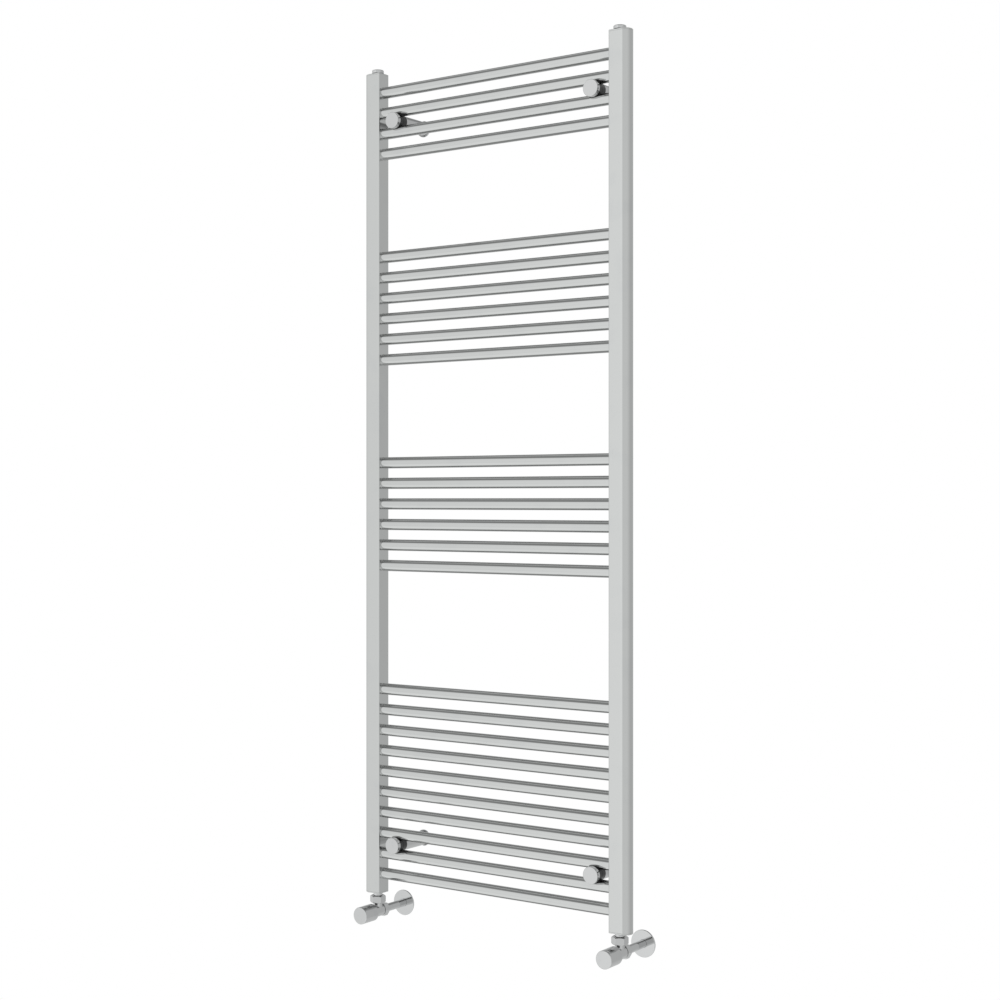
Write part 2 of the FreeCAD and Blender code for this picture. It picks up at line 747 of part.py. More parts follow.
def spindle(front):
    """A spindle that turns without rising: square end, stem, collar and thread."""
    collar_face = "barrel_front + bonnet_shoulder - sliding_gap"
    collar = f"{front} - ({collar_face})"
    outline = [
        ("0", "0"),
        ("stem_radius", "0"),
        ("stem_radius", collar),
        ("collar_radius", collar),
        ("collar_radius", f"{collar} + collar_length"),
        ("thread_radius", f"{collar} + collar_length"),
        ("thread_radius", f"{collar} + collar_length + thread_length"),
        ("0", f"{collar} + collar_length + thread_length"),
    ]
    turning = turned(outline, PORT_X, valve_y(f"-({front})"), VALVE_Z, BACK)
    flats = [
        block("2 * stem_radius", "square_length", "2 * stem_radius", x, valve_y(f"-({front})"), z)
        for x, z in (
            (PORT_X + " + square_flats / 2", VALVE_Z + " - stem_radius"),
            (PORT_X + " - square_flats / 2 - 2 * stem_radius", VALVE_Z + " - stem_radius"),
            (PORT_X + " - stem_radius", VALVE_Z + " + square_flats / 2"),
            (PORT_X + " - stem_radius", VALVE_Z + " - square_flats / 2 - 2 * stem_radius"),
        )
    ]
    return cut(turning, *flats)


def jumper():
    """A six-sided jumper, open: the spindle's thread drives it along the bonnet's guide."""
    washer_face = "seat_place - valve_travel - closed_gap"
    back = f"{washer_face} - washer_thickness"
    front = f"{back} - jumper_length"
    body = hexagon("jumper_flats", "jumper_length", PORT_X, valve_y(front), VALVE_Z, BACK)
    pin = rod("jumper_pin", "jumper_length + washer_thickness - thread_gap", PORT_X, valve_y(front),
              VALVE_Z, BACK)
    bore = rod("thread_radius + sliding_gap", "jumper_bore_depth", PORT_X, valve_y(front), VALVE_Z, BACK)
    return cut(fuse(body, pin), bore)


def seat_washer():
    """The rubber washer that closes on the seat."""
    back = "seat_place - valve_travel - closed_gap - washer_thickness"
    disc = rod("washer_radius", "washer_thickness", PORT_X, valve_y(back), VALVE_Z, BACK)
    hole = rod("jumper_pin + sliding_gap", "washer_thickness", PORT_X, valve_y(back), VALVE_Z, BACK)
    return cut(disc, hole)


def build_valve_insides():
    """Spindles, jumpers and washers of both valves."""
    node("handwheel_spindle", spindle("wheel_face - 2 * wheel_front - sliding_gap"))
    node("handwheel_jumper", jumper())
    node("handwheel_seat_washer", seat_washer())
    node("lockshield_spindle", across(spindle("lock_stem")))
    node("lockshield_jumper", across(jumper()))
    node("lockshield_seat_washer", across(seat_washer()))


def build_handles():
    """The handwheel, and the matching cap that hides the lockshield's spindle."""
    inner = "wheel_radius - wheel_wall"
    face = valve_y("-wheel_face")
    hub_end = "2 * wheel_front + square_length"
    wheel = [
        ("0", "0"),
        ("wheel_radius - wheel_edge", "0"),
        ("wheel_radius", "wheel_edge"),
        ("wheel_radius", "wheel_length"),
        (inner, "wheel_length"),
        (inner, "wheel_front"),
        ("hub_radius", "wheel_front"),
        ("hub_radius", hub_end),
        ("0", hub_end),
    ]
    half = "(square_flats / 2 + sliding_gap)"
    square = block(f"2 * {half}", "square_length + sliding_gap", f"2 * {half}", f"{PORT_X} - {half}",
                   valve_y("-wheel_face + 2 * wheel_front - sliding_gap"), f"{VALVE_Z} - {half}")
    node("handwheel", cut(turned(wheel, PORT_X, face, VALVE_Z, BACK), square))
    grip = "bonnet_neck + thread_gap"
    grip_end = f"{BONNET_END} + cap_grip"
    cap = [
        ("0", "0"),
        ("wheel_radius - wheel_edge", "0"),
        ("wheel_radius", "wheel_edge"),
        ("wheel_radius", "wheel_length"),
        (inner, "wheel_length"),
        (inner, "wheel_front"),
        (grip + " + cap_hub_wall", "wheel_front"),
        (grip + " + cap_hub_wall", grip_end),
        (grip, grip_end),
        (grip, "wheel_front"),
        ("0", "wheel_front"),
    ]
    node("lockshield_cap", across(turned(cap, PORT_X, face, VALVE_Z, BACK)))


def check_and_write():
    """Refuse a failed feature or a bad solid, then write every piece."""
    doc.recompute()
    failed = [item.Name for item in doc.Objects if {"Invalid", "Error"} & set(item.State)]
    if failed:
        raise RuntimeError("features failed: " + ", ".join(failed))
    for label, piece in nodes.items():
        if piece.Shape.isNull() or not piece.Shape.isValid() or not piece.Shape.Solids:
            raise RuntimeError("bad solid: " + label)
    os.makedirs("parts", exist_ok=True)
    for label, piece in nodes.items():
        piece.Shape.exportStep(f"parts/{label}.step")
        print(f"{label}: {len(piece.Shape.Solids)} solid(s), {piece.Shape.Volume / 1000:.2f} cm3")


fill_sheet()
build_rungs()
build_uprights()
build_plugs()
build_brackets()
build_valve_bodies()
build_unions()
build_pipe_joints()
build_bonnets()
build_valve_insides()
build_handles()
check_and_write()
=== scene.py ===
"""Looks of a chromed ladder towel radiator with an angled valve under each upright.

Everything is in metres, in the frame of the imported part: the origin is the middle of the
four wall fixings on the wall, +X runs along the rungs, +Y into the wall and +Z up.
"""
import logging
import math
from dataclasses import dataclass, field
from enum import Enum
from typing import Callable, Iterable, Sequence

import bpy
import numpy as np
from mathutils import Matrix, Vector


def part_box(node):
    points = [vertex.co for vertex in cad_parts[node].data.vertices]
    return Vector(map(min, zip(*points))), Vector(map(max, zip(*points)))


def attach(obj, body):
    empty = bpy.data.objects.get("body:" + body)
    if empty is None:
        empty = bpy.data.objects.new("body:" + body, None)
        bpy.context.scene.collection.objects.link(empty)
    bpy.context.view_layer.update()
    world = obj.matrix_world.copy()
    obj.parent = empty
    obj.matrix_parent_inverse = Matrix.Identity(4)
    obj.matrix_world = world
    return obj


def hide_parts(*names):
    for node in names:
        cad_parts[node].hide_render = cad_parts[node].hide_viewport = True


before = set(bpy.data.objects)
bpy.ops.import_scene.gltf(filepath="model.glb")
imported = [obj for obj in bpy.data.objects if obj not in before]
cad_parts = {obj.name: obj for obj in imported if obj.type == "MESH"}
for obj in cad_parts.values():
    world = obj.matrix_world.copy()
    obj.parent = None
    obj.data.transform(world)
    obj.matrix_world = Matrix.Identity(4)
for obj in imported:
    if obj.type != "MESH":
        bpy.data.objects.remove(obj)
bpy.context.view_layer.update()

MM = 0.001
MIDDLE = (0.0, 0.0, 0.0)

# Edges flatter than this are shaded smooth.
SMOOTH_LIMIT = math.radians(40)

# Pieces in an arc of an outline, and points round large and small turned pieces.
ARC_STEPS = 6
TURNS = 96
SMALL_TURNS = 64

# A rounded corner takes no more than REACH_LIMIT of the edges beside it. A point follows each arc,
# at SUPPORT_SHARE of its radius or SUPPORT_LIMIT of the edge, to keep that edge flat.
REACH_LIMIT = 0.45
SUPPORT_SHARE = 0.3
SUPPORT_LIMIT = 0.08

# Rounding of a nut's corners, steepness of its chamfers, and how far past the corners they are cut.
NUT_CORNER = 0.7 * MM
NUT_SLOPE = 1.6
NUT_OVERRUN = 1.15

# The foot of a branch ends this far under the surface, at this share of its fillet.
FOOT_DEPTH = 0.5 * MM
FOOT_SHARE = 0.9

log = logging.getLogger("radiator")


class Axis(Enum):
    """Directions that pieces are built along, with the two directions across them."""

    UP = ((0, 0, 1), (1, 0, 0), (0, 1, 0))
    DOWN = ((0, 0, -1), (1, 0, 0), (0, -1, 0))
    BACK = ((0, 1, 0), (1, 0, 0), (0, 0, -1))
    FRONT = ((0, -1, 0), (1, 0, 0), (0, 0, 1))

    @property
    def along(self) -> np.ndarray:
        """Unit vector along the axis."""
        return np.array(self.value[0], float)

    @property
    def first(self) -> np.ndarray:
        """Unit vector across the axis, where turning starts."""
        return np.array(self.value[1], float)

    @property
    def second(self) -> np.ndarray:
        """The other unit vector across the axis."""
        return np.array(self.value[2], float)


class Side(Enum):
    """The two uprights."""

    LEFT = -1
    RIGHT = 1


# ---------------------------------------------------------------------------
# Node trees
# ---------------------------------------------------------------------------


@dataclass
class Value:
    """An output socket that can be used in arithmetic, as a number or a vector."""

    sheet: "NodeSheet"
    socket: bpy.types.NodeSocket

    @property
    def is_vector(self) -> bool:
        """True for vectors and colours."""
        return self.socket.type in {"VECTOR", "RGBA"}

    def _apply(self, operation: str, first: object, second: object) -> "Value":
        """Add one maths node.

        Args:
            operation: Blender's name of the operation.
            first: Number, triple or Value that comes first.
            second: Number, triple or Value that comes second.

        Returns:
            The node's result.
        """
        wide = any(isinstance(v, (tuple, list)) or (isinstance(v, Value) and v.is_vector)
                   for v in (first, second))
        if not wide:
            return self.sheet.node("ShaderNodeMath", {"operation": operation}, {0: first, 1: second})
        pair = {}
        for place, value in enumerate((first, second)):
            pair[place] = (value,) * 3 if isinstance(value, (int, float)) else value
        return self.sheet.node("ShaderNodeVectorMath", {"operation": operation}, pair)

    def __add__(self, other: object) -> "Value":
        """This value plus another."""
        return self._apply("ADD", self, other)

    def __radd__(self, other: object) -> "Value":
        """Another value plus this one."""
        return self._apply("ADD", other, self)

    def __mul__(self, other: object) -> "Value":
        """This value times another."""
        return self._apply("MULTIPLY", self, other)

    def __rmul__(self, other: object) -> "Value":
        """Another value times this one."""
        return self._apply("MULTIPLY", other, self)

    def __neg__(self) -> "Value":
        """This value with its sign turned."""
        return self._apply("MULTIPLY", self, -1.0)


@dataclass
class NodeSheet:
    """A shader or world tree that is filled node by node."""

    tree: bpy.types.NodeTree

    def node(self, kind: str, settings: dict | None = None, values: dict | None = None,
             output: int | str = 0) -> Value:
        """Add a node of any type.

        Args:
            kind: Blender's type name of the node.
            settings: Properties, set before any value or link.
            values: Input socket name or place to a number, tuple or Value.
            output: Name or place of the output that is wanted.

        Returns:
            The wanted output.
        """
        made = self.tree.nodes.new(kind)
        for name, value in (settings or {}).items():
            setattr(made, name, value)
        for name, value in (values or {}).items():
            if isinstance(value, Value):
                self.tree.links.new(value.socket, made.inputs[name])
            else:
                made.inputs[name].default_value = value
        return Value(self, made.outputs[output])

    def step(self, value: Value, low: float, high: float, start: float, end: float) -> Value:
        """Go smoothly from one number to another as a value crosses a span.

        Args:
            value: The value that is looked at.
            low: Where the change starts.
            high: Where the change ends.
            start: Result up to low.
            end: Result from high on.

        Returns:
            The result.
        """
        return self.node(
            "ShaderNodeMapRange", {"interpolation_type": "SMOOTHSTEP"},
            {"Value": value, "From Min": low, "From Max": high, "To Min": start, "To Max": end})

    def blend(self, share: Value, first: object, second: object) -> Value:
        """Mix two numbers.

        Args:
            share: 0 for the first and 1 for the second.
            first: Number or Value.
            second: Number or Value.

        Returns:
            The mixed number.
        """
        return self.node("ShaderNodeMix", {"data_type": "FLOAT"}, {0: share, 2: first, 3: second})

    def tint(self, share: Value, first: object, second: object) -> Value:
        """Mix two colours.

        Args:
            share: 0 for the first and 1 for the second.
            first: Red, green and blue, or a Value.
            second: Red, green and blue, or a Value.

        Returns:
            The mixed colour.
        """
        first, second = (side if isinstance(side, Value) else (*side, 1.0) for side in (first, second))
        return self.node("ShaderNodeMix", {"data_type": "RGBA"}, {0: share, 6: first, 7: second}, 2)

    def noise(self, place: Value, scale: float, detail: float = 2.0) -> Value:
        """Add noise on a position.

        Args:
            place: Position that the noise is read at.
            scale: Features per metre.
            detail: Number of finer layers.

        Returns:
            The noise, about 0 to 1.
        """
        return self.node("ShaderNodeTexNoise", {"noise_dimensions": "3D"},
                         {"Vector": place, "Scale": scale, "Detail": detail})


# ---------------------------------------------------------------------------
# Finishes
# ---------------------------------------------------------------------------


@dataclass(frozen=True)
class Finish:
    """A surface finish: its name, the record's slot it belongs to and its plain numbers."""

    name: str
    slot: str
    colour: tuple[float, float, float]
    worn: tuple[float, float, float]
    metallic: float
    roughness: float
    spread: float
    offset: tuple[float, float, float] = (0.0, 0.0, 0.0)

    def material(self) -> bpy.types.Material:
        """Make the material, or find it when it has been made.

        Returns:
            The finished material.
        """
        found = bpy.data.materials.get(self.name)
        if found:
            return found
        made = bpy.data.materials.new(self.name)
        made.use_nodes = True
        made.node_tree.nodes.clear()
        sheet = NodeSheet(made.node_tree)
        place = sheet.node("ShaderNodeTexCoord", output="Object") + self.offset
        shader = self.surface(sheet, place)
        out = made.node_tree.nodes.new("ShaderNodeOutputMaterial")
        made.node_tree.links.new(shader.socket, out.inputs["Surface"])
        return made

    def surface(self, sheet: NodeSheet, place: Value) -> Value:
        """Build the shader. Each kind of finish has its own.

        Args:
            sheet: The material's tree.
            place: Position on the piece.

        Returns:
            The shader.
        """
        raise NotImplementedError

    def principled(self, sheet: NodeSheet, colour: Value, roughness: Value, normal: Value) -> Value:
        """Join a finish's features in one shader.

        Args:
            sheet: The material's tree.
            colour: Base colour.
            roughness: Roughness.
            normal: Bumped normal.

        Returns:
            The shader.
        """
        return sheet.node("ShaderNodeBsdfPrincipled", None, {
            "Base Color": colour, "Roughness": roughness, "Normal": normal, "Metallic": self.metallic})


@dataclass(frozen=True)
class Chrome(Finish):
    """Polished chrome plate with faint polishing haze and a few wiped-on smudges."""

    haze: float = 18.0
    fine_ratio: float = 14.0
    fine_share: float = 0.3
    smudge_span: tuple[float, float] = (0.52, 0.72)
    ripple: float = 60.0
    ripple_height: float = 0.00001
    ripple_strength: float = 0.25

    def surface(self, sheet: NodeSheet, place: Value) -> Value:
        """Build the shader.

        Args:
            sheet: The material's tree.
            place: Position on the piece.

        Returns:
            The shader.
        """
        broad = sheet.noise(place, self.haze, 3.0)
        fine = sheet.noise(place, self.haze * self.fine_ratio, 2.0)
        smudge = sheet.step(broad, *self.smudge_span, 0.0, 1.0)
        colour = sheet.tint(smudge, self.colour, self.worn)
        roughness = self.roughness + smudge * self.spread + fine * (self.spread * self.fine_share)
        wave = sheet.noise(place, self.ripple, 1.0)
        normal = sheet.node("ShaderNodeBump", None, {
            "Strength": self.ripple_strength, "Distance": self.ripple_height, "Height": wave}, "Normal")
        return self.principled(sheet, colour, roughness, normal)


@dataclass(frozen=True)
class Turned(Finish):
    """Machined metal with fine tool marks in rings across one direction."""

    rings_per_metre: float = 2600.0
    direction: tuple[float, float, float] = (0.0, 1.0, 0.0)
    sway_scale: float = 220.0
    sway: float = 3.0
    stain_scale: float = 90.0
    stain_span: tuple[float, float] = (0.45, 0.7)
    mark_roughness: float = 0.03
    mark_height: float = 0.00002
    mark_strength: float = 0.5

    def surface(self, sheet: NodeSheet, place: Value) -> Value:
        """Build the shader.

        Args:
            sheet: The material's tree.
            place: Position on the piece.

        Returns:
            The shader.
        """
        along = sheet.node("ShaderNodeVectorMath", {"operation": "DOT_PRODUCT"},
                           {0: place, 1: self.direction}, "Value")
        sway = sheet.noise(place, self.sway_scale, 2.0)
        marks = sheet.node("ShaderNodeMath", {"operation": "SINE"},
                           {0: along * (self.rings_per_metre * math.tau) + sway * self.sway})
        stain = sheet.step(sheet.noise(place, self.stain_scale, 4.0), *self.stain_span, 0.0, 1.0)
        colour = sheet.tint(stain, self.colour, self.worn)
        roughness = self.roughness + stain * self.spread + marks * self.mark_roughness
        normal = sheet.node("ShaderNodeBump", None, {
            "Strength": self.mark_strength, "Distance": self.mark_height, "Height": marks}, "Normal")
        return self.principled(sheet, colour, roughness, normal)


@dataclass(frozen=True)
class Moulded(Finish):
    """Moulded nylon or rubber, with a fine grain and a little bloom."""

    grain: float = 2200.0
    grain_height: float = 0.00003
    grain_strength: float = 0.4
    bloom_scale: float = 140.0
    bloom_span: tuple[float, float] = (0.5, 0.75)

    def surface(self, sheet: NodeSheet, place: Value) -> Value:
        """Build the shader.

        Args:
            sheet: The material's tree.
            place: Position on the piece.

        Returns:
            The shader.
        """
        grain = sheet.noise(place, self.grain, 3.0)
        bloom = sheet.step(sheet.noise(place, self.bloom_scale, 3.0), *self.bloom_span, 0.0, 1.0)
        colour = sheet.tint(bloom, self.colour, self.worn)
        roughness = self.roughness + bloom * self.spread
        normal = sheet.node("ShaderNodeBump", None, {
            "Strength": self.grain_strength, "Distance": self.grain_height, "Height": grain}, "Normal")
        return self.principled(sheet, colour, roughness, normal)


RAIL_CHROME = Chrome(
    "rail_chrome", "chrome_rail", colour=(0.585, 0.588, 0.585), worn=(0.568, 0.572, 0.572),
    metallic=1.0, roughness=0.03, spread=0.025)
FITTING_CHROME = Chrome(
    "fitting_chrome", "chrome_fittings", colour=(0.585, 0.585, 0.588), worn=(0.565, 0.565, 0.572),
    metallic=1.0, roughness=0.03, spread=0.03, offset=(3.1, 0.7, 1.9),
    haze=45.0, ripple=160.0, ripple_height=0.000006)
PIPE_CHROME = Chrome(
    "pipe_chrome", "chrome_pipe", colour=(0.578, 0.582, 0.585), worn=(0.559, 0.562, 0.565),
    metallic=1.0, roughness=0.045, spread=0.04, offset=(7.7, 2.3, 0.4),
    haze=60.0, ripple=200.0, ripple_height=0.000006)
PORT_STEEL = Turned(
    "port_steel", "steel_ports", colour=(0.56, 0.56, 0.55), worn=(0.40, 0.39, 0.37),
    metallic=1.0, roughness=0.32, spread=0.18, direction=(0.0, 0.0, 1.0))
SCREW_STEEL = Turned(
    "screw_steel", "steel_screws", colour=(0.62, 0.61, 0.58), worn=(0.48, 0.46, 0.42),
    metallic=1.0, roughness=0.28, spread=0.2)
BRASS = Turned(
    "turned_brass", "brass", colour=(0.78, 0.58, 0.28), worn=(0.60, 0.41, 0.18),
    metallic=1.0, roughness=0.24, spread=0.2)
# Near-black clamp colour: partly the clamps' own black nylon, partly painted shade of the narrow gap
# between two rungs.
CLAMP_BLACK_AND_GAP_SHADE = Moulded(
    "clamp_black_and_painted_gap_shade", "black_clamps", colour=(0.012, 0.012, 0.013), worn=(0.03, 0.03, 0.031),
    metallic=0.0, roughness=0.16, spread=0.12)
SEAL_RUBBER = Moulded(
    "seal_rubber", "rubber", colour=(0.022, 0.022, 0.024), worn=(0.06, 0.06, 0.062),
    metallic=0.0, roughness=0.55, spread=0.25)


# ---------------------------------------------------------------------------
# Meshes
# ---------------------------------------------------------------------------


@dataclass
class Shell:
    """A closed skin through rings of points that all have the same count."""

    rings: list[np.ndarray]
    looped: bool = False

    def parts(self) -> tuple[list[np.ndarray], list[tuple[int, ...]]]:
        """Work out points and faces.

        Returns:
            The points, and the faces as places in them.
        """
        points: list[np.ndarray] = []
        rows: list[list[int]] = []
        for ring in self.rings:
            start = len(points)
            if np.ptp(ring, axis=0).max() < 1e-9:
                points.append(ring[0])
                rows.append([start] * len(ring))
            else:
                points.extend(ring)
                rows.append(list(range(start, start + len(ring))))
        pairs = list(zip(rows, rows[1:]))
        if self.looped:
            pairs.append((rows[-1], rows[0]))
        faces: list[tuple[int, ...]] = []
        for low, high in pairs:
            for place in range(len(low)):
                after = (place + 1) % len(low)
                corners = (low[place], low[after], high[after], high[place])
                kept = tuple(dict.fromkeys(corners))
                if len(kept) > 2:
                    faces.append(kept)
        if not self.looped:
            for row, forwards in ((rows[0], False), (rows[-1], True)):
                if row[0] != row[1]:
                    faces.append(tuple(row if forwards else reversed(row)))
        return points, faces


def volume_of(points: np.ndarray, faces: Iterable[Sequence[int]]) -> float:
    """Signed volume inside a closed skin.

    Args:
        points: The points.
        faces: The faces.

    Returns:
        The volume, negative when the faces point inwards.
    """
    total = 0.0
    for face in faces:
        first = points[face[0]]
        for second, third in zip(face[1:], face[2:]):
            total += np.dot(first, np.cross(points[second], points[third]))
    return total / 6


def mesh_of(name: str, *shells: Shell) -> bpy.types.Mesh:
    """Make one mesh of several skins, each with its faces outwards.

    Args:
        name: Name of the mesh.
        shells: The skins.

    Returns:
        The mesh, smooth with its real corners left sharp.
    """
    points: list[np.ndarray] = []
    faces: list[tuple[int, ...]] = []
    for shell in shells:
        own_points, own_faces = shell.parts()
        if volume_of(np.array(own_points), own_faces) < 0:
            own_faces = [tuple(reversed(face)) for face in own_faces]
        start = len(points)
        points.extend(own_points)
        faces.extend(tuple(place + start for place in face) for face in own_faces)
    mesh = bpy.data.meshes.new(name)
    mesh.from_pydata([tuple(point) for point in points], [], faces)
    mesh.validate()
    mesh.shade_smooth()
    mesh.set_sharp_from_angle(angle=SMOOTH_LIMIT)
    return mesh


def rounded(corners: Sequence[tuple], closed: bool = False,
            steps: int = ARC_STEPS) -> list[tuple[float, float]]:
    """Round the corners of an outline, with a point close beside each arc to keep its neighbours flat.

    Args:
        corners: (across, along) or (across, along, radius) for each corner.
        closed: True when the last corner joins the first.
        steps: Pieces in each arc.

    Returns:
        The rounded outline.
    """
    result: list[tuple[float, float]] = []
    count = len(corners)
    for index, corner in enumerate(corners):
        here = np.array(corner[:2], float)
        radius = corner[2] if len(corner) > 2 else 0.0
        if radius <= 0 or (not closed and index in (0, count - 1)):
            result.append((float(here[0]), float(here[1])))
            continue
        before = np.array(corners[index - 1][:2], float) - here
        after = np.array(corners[(index + 1) % count][:2], float) - here
        into, out = before / np.linalg.norm(before), after / np.linalg.norm(after)
        half = math.acos(float(np.clip(into @ out, -1, 1))) / 2
        reach = min(radius / math.tan(half), REACH_LIMIT * np.linalg.norm(before),
                    REACH_LIMIT * np.linalg.norm(after))
        radius = reach * math.tan(half)
        middle = here + (into + out) / np.linalg.norm(into + out) * radius / math.sin(half)
        start, end = here + into * reach - middle, here + out * reach - middle
        sweep = math.atan2(start[0] * end[1] - start[1] * end[0], float(start @ end))
        support = SUPPORT_SHARE * min(reach, radius)
        result.append(tuple(here + into * (reach + min(support, SUPPORT_LIMIT * np.linalg.norm(before)))))
        for step in range(steps + 1):
            turn = sweep * step / steps
            result.append((middle[0] + start[0] * math.cos(turn) - start[1] * math.sin(turn),
                           middle[1] + start[0] * math.sin(turn) + start[1] * math.cos(turn)))
        result.append(tuple(here + out * (reach + min(support, SUPPORT_LIMIT * np.linalg.norm(after)))))
    return result


def ring_at(place: Sequence[float], axis: Axis, across: np.ndarray,
            along: np.ndarray | float) -> np.ndarray:
    """Put a flat or wavy ring about an axis.

    Args:
        place: Where the axis starts.
        axis: The axis.
        across: The ring's points across the axis, two numbers each.
        along: How far along the axis the ring is, as one number or one for each point.

    Returns:
        The ring's points.
    """
    lengths = np.broadcast_to(np.asarray(along, float), (len(across),))
    return (np.asarray(place, float) + np.outer(lengths, axis.along)
            + np.outer(across[:, 0], axis.first) + np.outer(across[:, 1], axis.second))


def circle(count: int = TURNS) -> np.ndarray:
    """Points round a circle of radius one.

    Args:
        count: Number of points.

    Returns:
        The points, two numbers each.
    """
    turn = np.arange(count) * math.tau / count
    return np.stack([np.cos(turn), np.sin(turn)], axis=1)


def lathe(place: Sequence[float], axis: Axis, outline: Sequence[tuple[float, float]],
          closed: bool = False, count: int = TURNS) -> Shell:
    """Turn an outline of (radius, distance along) about an axis.

    Args:
        place: Where the axis starts.
        axis: The axis.
        outline: The outline.
        closed: True for a piece with a hole along its axis.
        count: Number of points round.

    Returns:
        The turned skin.
    """
    unit = circle(count)
    return Shell([ring_at(place, axis, unit * radius, along) for radius, along in outline], closed)


def ramp(values: np.ndarray, low: float, span: float) -> np.ndarray:
    """Go smoothly from 0 to 1.

    Args:
        values: The values that are looked at.
        low: Where the change starts.
        span: How far it takes.

    Returns:
        The share at each value.
    """
    share = np.clip((values - low) / span, 0, 1)
    return share * share * (3 - 2 * share)


def hexagon(flats: float, corner: float) -> np.ndarray:
    """A six-sided outline with rounded corners, the first corner on the first direction.

    Args:
        flats: Width across flats.
        corner: Radius of the corners.

    Returns:
        The points, two numbers each.
    """
    points = []
    shares = (0.03, 0.12, 0.3, 0.5, 0.7, 0.88, 0.97)
    inner = (flats / 2 - corner) / math.cos(math.radians(30))
    for index in range(6):
        middle = math.radians(60 * index)
        centre = np.array([math.cos(middle), math.sin(middle)]) * inner
        for step in range(-2, 3):
            turn = middle + math.radians(15 * step)
            points.append(centre + corner * np.array([math.cos(turn), math.sin(turn)]))
        following = math.radians(60 * (index + 1))
        side = middle + math.radians(30)
        push = corner * np.array([math.cos(side), math.sin(side)])
        start = centre + push
        end = np.array([math.cos(following), math.sin(following)]) * inner + push
        points.extend(start + (end - start) * share for share in shares)
    return np.array(points)


def nut(place: Sequence[float], axis: Axis, flats: float, length: float, turn: float,
        faces: Sequence[tuple[float, float]], relief: float = -0.35 * MM) -> Shell:
    """A six-sided nut with both ends chamfered and a turned inside.

    Args:
        place: Middle of its lower end.
        axis: The axis.
        flats: Width across flats.
        length: Length.
        turn: Angle of the first corner.
        faces: Outline of (radius, distance along) from the far end's face through the inside to the
            near end's face.
        relief: How far outside the flats the chamfers start at both ends.

    Returns:
        The skin.
    """
    outline = hexagon(flats, NUT_CORNER)
    spin = np.array([[math.cos(turn), math.sin(turn)], [-math.sin(turn), math.cos(turn)]])
    outline = outline @ spin
    reach = np.linalg.norm(outline, axis=1)
    unit = outline / reach[:, None]
    first = flats / 2 + relief
    depths = np.linspace(0, (reach.max() - first) / NUT_SLOPE * NUT_OVERRUN, 9)
    rings = []
    for distance in (*depths, *(length - depths[::-1])):
        limit = first + NUT_SLOPE * min(distance, length - distance)
        rings.append(ring_at(place, axis, unit * np.minimum(reach, limit)[:, None], distance))
    rings.extend(ring_at(place, axis, unit * radius, along) for radius, along in faces)
    return Shell(rings, True)


def branch(radius: float, surface: Callable, fillet: Callable, unit: np.ndarray,
           steps: int = ARC_STEPS) -> list[tuple[np.ndarray, np.ndarray]]:
    """The foot of a tube that stands on a surface, with a fillet round it.

    Args:
        radius: The tube's radius.
        surface: Height of the surface at points across the tube's axis.
        fillet: Size of the fillet in each direction.
        unit: Directions round the tube.
        steps: Pieces across the fillet.

    Returns:
        Rings from the tube down to the foot and a little below it: points across, and heights.
    """
    size = fillet(unit)
    near, far = surface(unit * radius), surface(unit * (radius + size)[:, None])
    rings = [(unit * radius, near + size * (1 + SUPPORT_SHARE))]
    for step in range(steps + 1):
        share = step / steps
        across = radius + size * share * share
        height = (1 - share) ** 2 * (near + size) + 2 * share * (1 - share) * near + share * share * far
        rings.append((unit * across[:, None], height))
    rings.append((unit * (radius + size * FOOT_SHARE)[:, None], far - FOOT_DEPTH))
    return rings


# ---------------------------------------------------------------------------
# Repeating pieces
# ---------------------------------------------------------------------------


class Layout(Enum):
    """Ways that copies of one piece are laid out."""

    ROW = "row_of_pieces"
    CORNERS = "pieces_at_corners"


